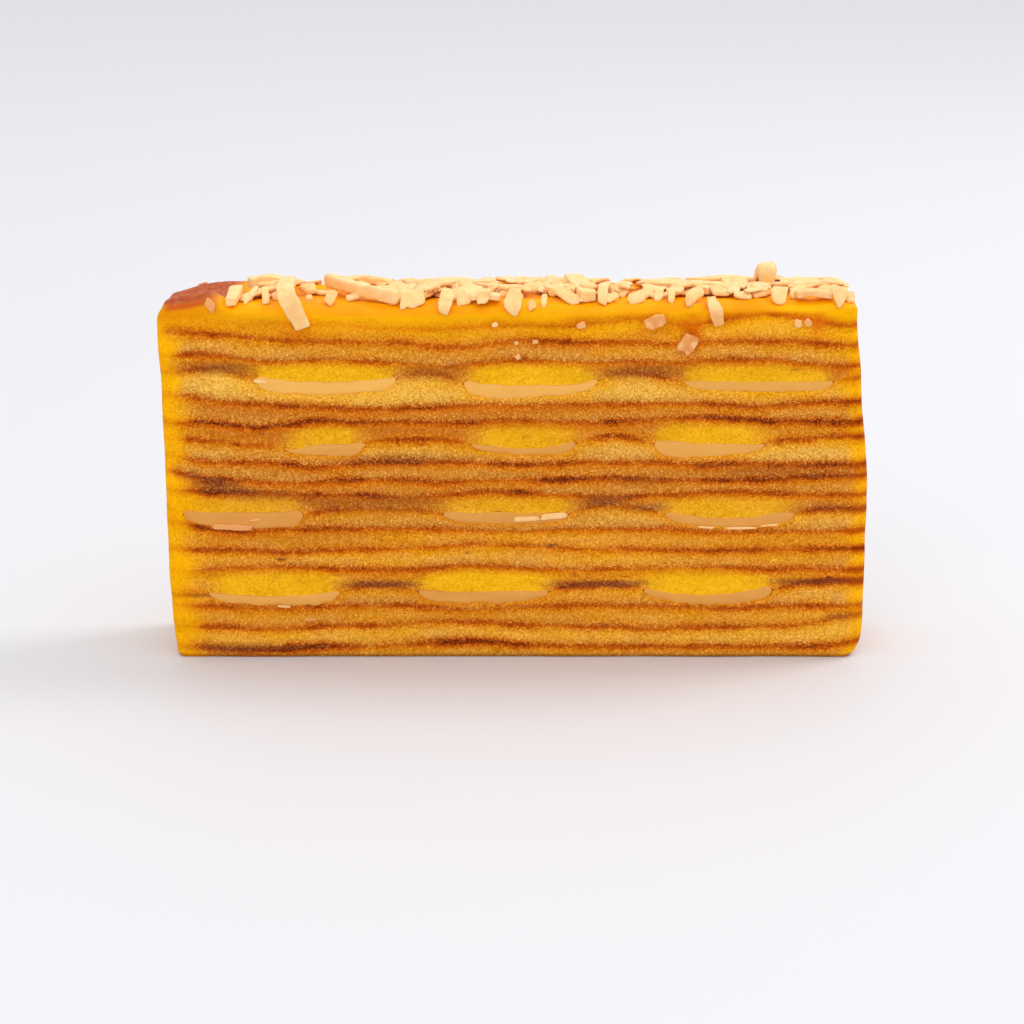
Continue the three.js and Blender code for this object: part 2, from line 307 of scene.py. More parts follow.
class Loaf:
    """The shape of the whole slice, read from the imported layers.

    A sheet with the number k lies between layer k and the layer over it.
    """

    COUNT = 19
    STEP = 0.4
    INSET = 0.05
    FEW = 7
    RIM_STEPS = np.array([0.05, 0.4, 0.9, 1.5, 2.2, 3.0, 4.5])
    END_STEP = 0.3
    END_EASE = 1.1
    CORNER = 1.5
    ROUNDING = 0.9
    STRIP_CLEARANCE = 0.2
    STRIP_START = 0.12
    BITE = 0.05
    KEEL_REACH = 6
    KEEL_EASE = 1.2
    FLATNESS = 0.75
    BLUNT_OVER = 0.8
    BLUNTNESS = 9
    ARCH = 1.7
    THINNEST = 0.35
    POCKET_EASE = 2.0
    MOUND = 2.2
    MOUND_ALONG = (-38.5, -43.0)
    MOUND_ACROSS = (8.0, 0.5)
    CORNER_MOUND = 1.2
    CORNER_ALONG = (-44.0, -48.0)
    REAR_RIM = 0.6
    REAR_ACROSS = (6.0, 1.0)
    REAR_MOUND = 0.6
    REAR_START = (-50.0, -44.0)
    REAR_END = (-30.0, -38.0)
    RIGHT_RIM = 1.2
    RIGHT_ALONG = (40.0, 45.5)
    RIGHT_FRONT = 0.45
    RIGHT_FRONT_REACH = 2.0
    LEFT_SHOULDER = (49.4, 51.6)
    LEFT_ROUNDING = 0.9
    BULGE = 0.35
    BULGE_START = (39.0, 46.0)
    BULGE_END = (50.5, 48.5)
    RIGHT_SHOULDER = (50.4, 51.8)
    RIGHT_ROUNDING = 0.7
    DEPTH_SEED = 5.3
    RISE_SEED = 6.1
    DEPTH_WAVES = ((SWELL, 0.2, (2.6, 5.0, 1.0)), (GRIT, 0.2, (0.8, 3.0, 1.0)))
    RISE_WAVES = ((DRIFT, 0.14, (3.2, 5.0, 1.0)), (GRIT, 0.1, (0.8, 3.0, 1.0)))

    def __init__(self) -> None:
        """Reads the ends, the faces and the sheet between each two layers."""
        solids = [CadSolid(self.layer_name(number)) for number in range(1, self.COUNT + 1)]
        halfway = solids[self.COUNT // 2]
        self.front = float(halfway.low[1])
        self.back = float(halfway.high[1])
        self.thick = self.back - self.front
        widest = max(float(solid.high[0]) for solid in solids)
        self.xs = np.arange(-widest, widest + self.STEP / 2, self.STEP)
        self.read_ends(solids)
        self.middle: dict[int, HeightSheet] = {}
        self.half: dict[int, HeightSheet] = {}
        self.keel: dict[int, HeightSheet] = {}
        self.pocket: dict[int, HeightSheet] = {}
        for k in range(1, self.COUNT):
            self.read_boundary(k, solids[k - 1], solids[k])
        self.strips = {layer: self.read_strips(row) for row, layer in STRIP_LAYERS.items()}
        ys = np.concatenate([self.front + self.RIM_STEPS, [(self.front + self.back) / 2],
                             self.back - self.RIM_STEPS[::-1]])
        self.crust = HeightSheet.measured(solids[-1], self.xs, ys, True).eased(self.ROUNDING)
        self.swell_crust(ys)

    def read_boundary(self, k: int, below: CadSolid, above: CadSolid) -> None:
        """Measures the boundary over layer k and the room for cheese in it.

        Args:
            k: The layer under the boundary.
            below: Its solid.
            above: The next layer's solid.
        """
        ys = np.linspace(self.front + self.INSET, self.back - self.INSET, self.FEW)
        top = HeightSheet.measured(below, self.xs, ys, True)
        under = top
        if k in STRIP_LAYERS.values():
            under = HeightSheet.measured(above, self.xs, ys, False)
        half = top.with_heights((under.z - top.z) / 2.0).eased(self.ROUNDING)
        half.z = np.maximum(half.z - self.STRIP_CLEARANCE, 0.0)
        middle = top.with_heights((under.z + top.z) / 2.0).eased(self.ROUNDING)
        filled = np.where(half.z > self.STRIP_START, 1.0, 0.0)
        near = [np.roll(middle.z - half.z, step, axis=0)
                for step in range(-self.KEEL_REACH, self.KEEL_REACH + 1)]
        self.half[k] = half
        self.middle[k] = middle
        self.pocket[k] = top.with_heights(filled).eased(self.POCKET_EASE)
        self.keel[k] = top.with_heights(np.minimum.reduce(near)).eased(self.KEEL_EASE)

    @staticmethod
    def read_strips(row: int) -> Array:
        """Lists a row's strips: middle, half length, and the numbers of its shape.

        Args:
            row: The row, counted from the base.

        Returns:
            One line of numbers for each strip.
        """
        lines = []
        for place, shape in zip(("left", "middle", "right"), STRIP_SHAPES[row]):
            low, high = (corner[0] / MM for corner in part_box(f"strip_row_{row}_{place}"))
            lines.append(((low + high) / 2, (high - low) / 2, shape.left, shape.middle,
                          shape.right, shape.deep, shape.lean))
        return np.array(lines)

    def strip_numbers(self, k: int, x: Array) -> tuple[Array, Array]:
        """Finds the height and the depth share of the nearest strip on layer k.

        Args:
            k: The layer under the strips.
            x: Places along the slice.

        Returns:
            The upper side's height over the boundary, and the depth share.
        """
        if k not in self.strips:
            return np.full(len(x), 0.5), np.ones(len(x))
        lines = self.strips[k]
        nearest = np.abs(x[:, None] - lines[:, 0]).argmin(axis=1)
        middle, reach, left, high, right, deep, lean = lines[nearest].T
        t = np.clip((x - middle) / reach, -1.0, 1.0)
        rise = blend(high, np.where(t < 0, left, right), np.abs(t) ** self.ARCH)
        return rise, deep * (1 + lean * t)

    def swell_crust(self, ys: Array) -> None:
        """Lifts the lip at the left front, the rear rim and the right-hand end of the crust.

        Args:
            ys: Places across the slice.
        """
        xs = self.xs[:, None]
        corner = blend(1.0, self.CORNER_MOUND, ease(xs, *self.CORNER_ALONG))
        lip = ease(xs, *self.MOUND_ALONG) * corner * ease(ys - self.front, *self.MOUND_ACROSS)
        swollen = self.REAR_MOUND * ease(xs, *self.REAR_START) * ease(xs, *self.REAR_END)
        rear = ease(self.back - ys, *self.REAR_ACROSS) * (self.REAR_RIM + swollen)
        from_front = ease(ys, self.front, self.RIGHT_FRONT_REACH)
        right = ease(xs, *self.RIGHT_ALONG) * blend(self.RIGHT_FRONT, 1.0, from_front)
        self.crust.z += self.MOUND * lip + rear + self.RIGHT_RIM * right

    @classmethod
    def layer_name(cls, number: int) -> str:
        """The CAD node's name of a layer, counted from the base."""
        return f"layer_{number:02d}" + ("_top" if number == cls.COUNT else "")

    def read_ends(self, solids: Sequence[CadSolid]) -> None:
        """Measures how the two ends run up the slice.

        Args:
            solids: The layers from the base up.
        """
        centre = (self.front + self.back) / 2
        self.end_z = np.arange(self.END_STEP / 2, float(solids[-1].low[2]) + 1.0, self.END_STEP)
        ends = np.array([[(solid.end(centre, z, False), solid.end(centre, z, True))
                          for solid in solids] for z in self.end_z])
        self.end_left = self.smooth_end(np.nanmin(ends[:, :, 0], axis=1), np.minimum)
        self.end_right = self.smooth_end(np.nanmax(ends[:, :, 1], axis=1), np.maximum)

    def smooth_end(self, places: Array, outermost: np.ufunc) -> Array:
        """Rounds the gaps between the layers out of one end.

        Args:
            places: Where the end was measured, from the base up.
            outermost: Picks the outer of two places.

        Returns:
            The smooth places.
        """
        line = outermost.reduce([np.roll(places, 1), places, np.roll(places, -1)])
        line[[0, -1]] = places[0], line[-2]
        smooth = HeightSheet(self.end_z, np.zeros(1), line[:, None]).eased(self.END_EASE)
        line[3:] = smooth.z[3:, 0]
        return line

    def left(self, z: Array) -> Array:
        """Finds where the left-hand end stands.

        Args:
            z: Heights in mm.

        Returns:
            Places along the slice.
        """
        bulge = self.BULGE * ease(z, *self.BULGE_START) * ease(z, *self.BULGE_END)
        rounded = self.LEFT_ROUNDING * ease(z, *self.LEFT_SHOULDER)
        return np.interp(z, self.end_z, self.end_left) + rounded - bulge

    def right(self, z: Array) -> Array:
        """Where the right-hand end stands at a height."""
        rounded = self.RIGHT_ROUNDING * ease(z, *self.RIGHT_SHOULDER)
        return np.interp(z, self.end_z, self.end_right) - rounded

    def blunt(self, half: Array) -> Array:
        """How much of its height a strip has where it would be so many mm thick: blunt ends."""
        return 1 - (1 - np.clip(half / self.BLUNT_OVER, 0.0, 1.0)) ** self.BLUNTNESS

    def depth(self, k: int, x: Array, y: Array) -> Array:
        """How far a strip on layer k reaches under the boundary: nearly flat below and ragged.

        Args:
            k: The layer under the strip.
            x: Places along the slice.
            y: Places across it.

        Returns:
            Depths in mm.
        """
        half = self.half[k].at(x, y)
        keel = self.middle[k].at(x, y) - self.keel[k].at(x, y)
        deep = blend(half, np.maximum(keel, half), self.FLATNESS) * self.strip_numbers(k, x)[1]
        ragged = 1 + uneven(at_height(x, y, self.DEPTH_SEED * k), self.DEPTH_WAVES)
        return self.blunt(half) * deep * ragged

    def rise(self, k: int, x: Array, y: Array) -> Array:
        """How far a strip on layer k reaches over the boundary, in mm."""
        ragged = uneven(at_height(x, y, self.RISE_SEED * k), self.RISE_WAVES)
        return self.blunt(self.half[k].at(x, y)) * (self.strip_numbers(k, x)[0] + ragged)

    def floor_of(self, number: int, x: Array, y: Array) -> Array:
        """Measures a layer's underside.

        Args:
            number: The layer, counted from the base.
            x: Places along the slice.
            y: Places across it.

        Returns:
            Heights in mm.
        """
        if number == 1:
            return np.zeros(len(x))
        room = np.maximum(self.rise(number - 1, x, y) - self.BITE, 0.0)
        return self.middle[number - 1].at(x, y) + room

    def roof_of(self, number: int, x: Array, y: Array) -> Array:
        """Measures a layer's upper side.

        Args:
            number: The layer, counted from the base.
            x: Places along the slice.
            y: Places across it.

        Returns:
            Heights in mm.
        """
        if number == self.COUNT:
            return self.crust.at(x, y)
        room = np.maximum(self.depth(number, x, y) - self.BITE, 0.0)
        roof = self.middle[number].at(x, y) - room
        return np.maximum(roof, self.floor_of(number, x, y) + self.THINNEST)

    def footprint(self, u: Array, v: Array, z: Array, inset: float = 0.0) -> tuple[Array, Array]:
        """Places points of the slice's outline, with its upright corners rounded.

        Args:
            u: Shares along the slice, from its left end.
            v: Shares across it, from its front face.
            z: Heights in mm.
            inset: How far inside the outline the shares' ends lie.

        Returns:
            Places along and across the slice.
        """
        left, right = self.left(z) + inset, self.right(z) - inset
        front, back = self.front + inset, self.back - inset
        x = blend(left, right, u)
        y = blend(front, back, v)
        near_x = np.where(u < 0.5, left + self.CORNER - x, x - right + self.CORNER)
        near_y = np.where(v < 0.5, front + self.CORNER - y, y - back + self.CORNER)
        a = np.clip(near_x / self.CORNER, 0, 1)
        b = np.clip(near_y / self.CORNER, 0, 1)
        pull_x = a * (1 - np.sqrt(1 - b * b / 2)) * self.CORNER
        pull_y = b * (1 - np.sqrt(1 - a * a / 2)) * self.CORNER
        return x + np.where(u < 0.5, pull_x, -pull_x), y + np.where(v < 0.5, pull_y, -pull_y)


LOAF = Loaf()


# ---- Mesh making --------------------------------------------------------------------------------


@dataclass
class Skin:
    """Points, faces and marks of one mesh before Blender gets it."""

    points: Array
    quads: Array
    triangles: Array = field(default_factory=lambda: np.zeros((0, 3), int))
    marks: dict[str, Array] = field(default_factory=dict)
    quad_uv: Array | None = None
    triangle_uv: Array | None = None
    crisp: bool = True

    CRISP_ANGLE: ClassVar[float] = math.radians(50)

    def to_object(self, name: str) -> Thing:
        """Makes the Blender object, in metres.

        Args:
            name: The piece's name.

        Returns:
            The linked object.
        """
        mesh = bpy.data.meshes.new(name)
        mesh.vertices.add(len(self.points))
        mesh.vertices.foreach_set("co", (self.points * MM).astype(np.float32).ravel())
        corners = np.concatenate([self.quads.ravel(), self.triangles.ravel()]).astype(np.int32)
        mesh.loops.add(len(corners))
        mesh.loops.foreach_set("vertex_index", corners)
        four = np.arange(len(self.quads)) * 4
        three = len(self.quads) * 4 + np.arange(len(self.triangles)) * 3
        starts = np.concatenate([four, three]).astype(np.int32)
        mesh.polygons.add(len(starts))
        mesh.polygons.foreach_set("loop_start", starts)
        mesh.polygons.foreach_set("use_smooth", np.ones(len(starts), bool))
        if self.quad_uv is not None:
            layer = mesh.uv_layers.new(name="OFBake")
            flat = np.concatenate([self.quad_uv.reshape(-1, 2), self.triangle_uv.reshape(-1, 2)])
            layer.data.foreach_set("uv", flat.astype(np.float32).ravel())
        mesh.update(calc_edges=True)
        mesh.validate()
        if self.crisp:
            mesh.set_sharp_from_angle(angle=self.CRISP_ANGLE)
        for mark, values in self.marks.items():
            add_mark(mesh, mark, values)
        return link(bpy.data.objects.new(name, mesh))


def add_mark(mesh: Mesh, name: str, values: Array) -> None:
    """Gives a mesh a number at each of its points, for the finishes to read."""
    mark = mesh.attributes.new(name, "FLOAT", "POINT")
    mark.data.foreach_set("value", np.asarray(values, np.float32))


def link(thing: Thing) -> Thing:
    """Puts an object in the scene and gives it back."""
    bpy.context.scene.collection.objects.link(thing)
    return thing


class Piece:
    """A visible piece: its slot and the CAD node that it stands for."""

    slot: ClassVar[str]

    def node(self) -> str:
        """The CAD node that the piece replaces, or nothing."""
        return ""

    def shape(self) -> Thing:
        """Makes the bare piece."""
        raise NotImplementedError

    def build(self, material: Material) -> Thing:
        """Makes the piece, dresses it and ties it to the frame.

        Args:
            material: Its finish.

        Returns:
            The piece.
        """
        piece = self.shape()
        piece.data.materials.clear()
        piece.data.materials.append(material)
        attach(piece, BODY)
        if self.node():
            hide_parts(self.node())
        piece.data.calc_loop_triangles()
        log.info("%s: %d triangles", piece.name, len(piece.data.loop_triangles))
        return piece


# ---- Node trees ---------------------------------------------------------------------------------


class Level:
    """A number that varies over a surface; each sum with it adds a Math node to its tree."""

    def __init__(self, board: "Board", socket: Socket) -> None:
        """Takes an output of the board's tree."""
        self.board = board
        self.socket = socket

    def __add__(self, other: object) -> "Level":
        """This number and another."""
        return self.board.math("ADD", self, other)

    def __radd__(self, other: object) -> "Level":
        """Another number and this one."""
        return self.board.math("ADD", other, self)

    def __sub__(self, other: object) -> "Level":
        """This number less another."""
        return self.board.math("SUBTRACT", self, other)

    def __rsub__(self, other: object) -> "Level":
        """Another number less this one."""
        return self.board.math("SUBTRACT", other, self)

    def __mul__(self, other: object) -> "Level":
        """This number times another."""
        return self.board.math("MULTIPLY", self, other)

    def __rtruediv__(self, other: object) -> "Level":
        """Another number divided by this one."""
        return self.board.math("DIVIDE", other, self)

    def larger(self, other: object) -> "Level":
        """The larger of this number and another."""
        return self.board.math("MAXIMUM", self, other)

    def kept(self) -> "Level":
        """The last sum, kept from 0 to 1."""
        self.socket.node.use_clamp = True
        return self

    def span(self, low: float, high: float, out_low: float = 0.0,
             out_high: float = 1.0) -> "Level":
        """Maps a range to another and keeps it there.

        Args:
            low: The lowest value.
            high: The highest value.
            out_low: What low becomes.
            out_high: What high becomes.

        Returns:
            The mapped number.
        """
        node = self.board.add("MapRange", clamp=True)
        for place, number in enumerate((self, low, high, out_low, out_high)):
            self.board.feed(node.inputs[place], number)
        return Level(self.board, node.outputs[0])


class Board:
    """A node tree with short ways to add nodes and join them."""

    STREAK = (0.36, 0.5, 1.0)

    def __init__(self, tree: Tree) -> None:
        """Starts on an emptied tree."""
        self.tree = tree
        self.tree.nodes.clear()

    def add(self, kind: str, **settings: object) -> Node:
        """Adds a node.

        Args:
            kind: Its type after "ShaderNode".
            **settings: Its properties.

        Returns:
            The node.
        """
        node = self.tree.nodes.new("ShaderNode" + kind)
        for name, value in settings.items():
            setattr(node, name, value)
        return node

    def feed(self, socket: Socket, value: object) -> None:
        """Links a socket to another, or sets its value.

        Args:
            socket: The input.
            value: A level, an output socket, a number or a colour.
        """
        if isinstance(value, Level):
            value = value.socket
        if isinstance(value, Socket):
            self.tree.links.new(value, socket)
        else:
            socket.default_value = value

    def math(self, operation: str, a: object, b: object) -> Level:
        """Adds a Math node.

        Args:
            operation: Its operation.
            a: Its first number.
            b: Its second number.

        Returns:
            The result.
        """
        node = self.add("Math", operation=operation)
        self.feed(node.inputs[0], a)
        self.feed(node.inputs[1], b)
        return Level(self, node.outputs[0])

    def mix(self, share: object, a: object, b: object) -> Socket:
        """Mixes two colours.

        Args:
            share: How much of the second.
            a: The first colour.
            b: The second colour.

        Returns:
            The mixed colour.
        """
        node = self.add("Mix", data_type="RGBA", clamp_factor=True)
        for place, value in ((0, share), (6, a), (7, b)):
            self.feed(node.inputs[place], value)
        return node.outputs[2]

    def ramp(self, value: Level, stops: Sequence[tuple[float, Colour]]) -> Level:
        """Looks a number up in a colour ramp.

        Args:
            value: The number.
            stops: Each place with its colour.

        Returns:
            The colour.
        """
        node = self.add("ValToRGB")
        band = node.color_ramp
        while len(band.elements) > 1:
            band.elements.remove(band.elements[0])
        band.elements[0].position, band.elements[0].color = stops[0]
        for place, colour in stops[1:]:
            band.elements.new(place).color = colour
        self.feed(node.inputs[0], value)
        return Level(self, node.outputs["Color"])

    def mark(self, name: str) -> Level:
        """Reads a mark that the mesh carries at its points."""
        node = self.add("Attribute", attribute_name=name, attribute_type="GEOMETRY")
        return Level(self, node.outputs["Fac"])

    def place(self) -> Socket:
        """Gives the piece's own coordinates."""
        return self.add("TexCoord").outputs["Object"]

    def streaked(self) -> Socket:
        """Gives coordinates that draw noise out into level streaks.

        Returns:
            The coordinates.
        """
        node = self.add("VectorMath", operation="MULTIPLY")
        self.feed(node.inputs[0], self.place())
        node.inputs[1].default_value = self.STREAK
        return node.outputs[0]

    def noise(self, place: Socket, size: object, detail: float, roughness: float) -> Level:
        """Adds cloudy noise.

        Args:
            place: The coordinates.
            size: Swells per metre.
            detail: How many finer octaves it has.
            roughness: How strong those are.

        Returns:
            Its value.
        """
        node = self.add("TexNoise", noise_dimensions="3D")
        for name, value in zip(("Vector", "Scale", "Detail", "Roughness"),
                               (place, size, detail, roughness)):
            self.feed(node.inputs[name], value)
        return Level(self, node.outputs["Fac"])

    def cells(self, place: Socket, size: Level) -> tuple[Level, Node]:
        """Adds crumb-like cells.

        Args:
            place: The coordinates.
            size: Cells per metre.

        Returns:
            How far each point is from its cell's middle, and the three numbers of each cell.
        """
        node = self.add("TexVoronoi", feature="F1")
        self.feed(node.inputs["Vector"], place)
        self.feed(node.inputs["Scale"], size)
        numbers = self.add("SeparateColor")
        self.feed(numbers.inputs[0], node.outputs["Color"])
        return Level(self, node.outputs["Distance"]), numbers

    def effect(self, group: Tree, **values: object) -> dict[str, Level]:
        """Places a shared effect.

        Args:
            group: Its node group.
            **values: Its inputs, with underscores for spaces.

        Returns:
            Its outputs by name.
        """
        node = self.add("Group", node_tree=group)
        for label, value in values.items():
            self.feed(node.inputs[label.replace("_", " ")], value)
        return {socket.name: Level(self, socket) for socket in node.outputs}

    def bump(self, height: Level, depth: float, strength: float = 1.0) -> Socket:
        """Turns heights into a shading normal.

        Args:
            height: The relief, about 0 to 1.
            depth: The relief's real depth in mm.
            strength: How strongly it counts.

        Returns:
            The normal.
        """
        node = self.add("Bump")
        for name, value in (("Strength", strength), ("Distance", depth * MM), ("Height", height)):
            self.feed(node.inputs[name], value)
        return node.outputs[0]


class Effect:
    """A shader node group that several finishes share."""

    def __init__(self, name: str, inputs: dict[str, float], outputs: Sequence[str]) -> None:
        """Starts the group.

        Args:
            name: The group's name.
            inputs: Each input's name and value.
            outputs: The outputs' names.
        """
        tree = bpy.data.node_groups.new(name, "ShaderNodeTree")
        self.board = Board(tree)
        for label, value in inputs.items():
            made = tree.interface.new_socket(label, in_out="INPUT", socket_type="NodeSocketFloat")
            made.default_value = value
        for label in outputs:
            tree.interface.new_socket(label, in_out="OUTPUT", socket_type="NodeSocketFloat")
        start = tree.nodes.new("NodeGroupInput")
        self.end = tree.nodes.new("NodeGroupOutput")
        self.given = {label: Level(self.board, start.outputs[label]) for label in inputs}

    def finish(self, **results: Level) -> Tree:
        """Joins the results to the outputs.

        Args:
            **results: What each output gives.

        Returns:
            The node group.
        """
        for label, result in results.items():
            self.board.feed(self.end.inputs[label], result)
        return self.board.tree


LIGHT_FLECKS = (1.65, 2.25)
DARK_FLECKS = (1.55, 0.95)
PORE_EDGE = (0.22, 0.12)
PORE_CHOICE = (0.72, 0.78)
MOTTLE_RANGE = (0.28, 0.72)


def crumb_group() -> Tree:
    """Builds the grain of a fine moist crumb, shared by the sponge and the browned top.

    Returns:
        The group: grain in millimetres in; light and dark flecks, pores, height and mottle out.
    """
    effect = Effect("fine crumb", {"Grain": 0.3, "Evenness": 0.0},
                    ["Light", "Dark", "Pores", "Height", "Mottle"])
    board = effect.board
    place = board.place()
    pitch = (1.0 / MM) / effect.given["Grain"]
    numbers = board.cells(place, pitch)[1]
    dust = board.noise(place, pitch * 1.7, 2.0, 0.7)
    clumps = board.noise(place, pitch * 0.32, 3.0, 0.6)
    fleck = Level(board, numbers.outputs[0]) * 0.8 + dust * 1.1 + clumps * 1.4
    rough = 1.0 - effect.given["Evenness"]
    distance, chosen = board.cells(place, pitch * 0.28)
    pore = distance.span(*PORE_EDGE) * rough
    pore = pore * Level(board, chosen.outputs[1]).span(*PORE_CHOICE)
    mottle = board.noise(board.streaked(), pitch * 0.065, 4.0, 0.62)
    return effect.finish(
        Light=fleck.span(*LIGHT_FLECKS) * rough,
        Dark=fleck.span(*DARK_FLECKS) * rough,
        Pores=pore,
        Height=(fleck * 0.4 + clumps - pore) * rough,
        Mottle=mottle.span(*MOTTLE_RANGE, -1.0, 1.0),
    )


LINE_REACH = 1.5
LINE_PROFILE = ((0.0, 0.0), (0.1, 0.11), (0.22, 0.31), (0.32, 0.52), (0.4, 0.75), (0.46, 0.94),
                (0.54, 0.97), (0.6, 0.7), (0.68, 0.48), (0.78, 0.27), (0.9, 0.09), (1.0, 0.0))


def baked_line_group() -> Tree:
    """Builds the browned line between two layers, shared by the sponge and the browned top.

    Returns:
        The group: heights over and under the lines in; browning above a line, below one, and
        the stronger of both out.
    """
    effect = Effect("baked line", {"Over": 9.0, "Under": 9.0, "Lower Bake": 1.0,
                                   "Upper Bake": 1.0, "Fray": 0.0},
                    ["Above", "Below", "Browning"])
    board, given = effect.board, effect.given
    stops = [(place, (height, height, height, 1.0)) for place, height in LINE_PROFILE]
    streaked = board.streaked()
    wander = board.noise(streaked, 0.9 / MM, 4.0, 0.7).span(0.25, 0.75, -0.14, 0.14)
    patchy = board.noise(streaked, 0.45 / MM, 4.0, 0.65).span(0.3, 0.7, 0.72, 1.25)
    sides = []
    for side, distance, bake in ((1.0, "Over", "Lower Bake"), (-1.0, "Under", "Upper Bake")):
        frayed = (given[distance] + given["Fray"]) * side + wander
        line = board.ramp(frayed.span(-LINE_REACH, LINE_REACH), stops)
        sides.append(line * (given[bake] * patchy))
    return effect.finish(Above=sides[0], Below=sides[1], Browning=sides[0].larger(sides[1]))


def wax_group() -> Tree:
    """Builds the faint clouds and fine bumps of cheese, shared by strips and shreds.

    Returns:
        The group: cloud size in millimetres in; clouds and height out.
    """
    effect = Effect("waxy cheese", {"Cloud": 2.0}, ["Clouds", "Height"])
    place = effect.board.place()
    pitch = (1.0 / MM) / effect.given["Cloud"]
    clouds = effect.board.noise(place, pitch, 3.0, 0.55)
    fine = effect.board.noise(place, pitch * 7.0, 3.0, 0.6)
    return effect.finish(Clouds=clouds, Height=fine * 0.5 + clouds)


CRUMB = crumb_group()
BAKED_LINE = baked_line_group()
WAX = wax_group()


# ---- Finishes -----------------------------------------------------------------------------------


class Finish:
    """What all finishes share: a name, the shader's constants, and a way of painting."""

    title: ClassVar[str]
    constants: ClassVar[dict[str, object]] = {}

    def paint(self, board: Board) -> dict[str, object]:
        """Works out what varies over the surface, by the shader socket that it feeds."""
        return {}

    def build(self) -> Material:
        """Builds the material.

        Returns:
            The material with its one shader.
        """
        material = bpy.data.materials.new(self.title)
        material.use_nodes = True
        board = Board(material.node_tree)
        shader = board.add("BsdfPrincipled")
        board.feed(board.add("OutputMaterial").inputs["Surface"], shader.outputs[0])
        for name, value in self.constants.items():
            shader.inputs[name].default_value = value
        for name, value in self.paint(board).items():
            board.feed(shader.inputs[name], value)
        return material


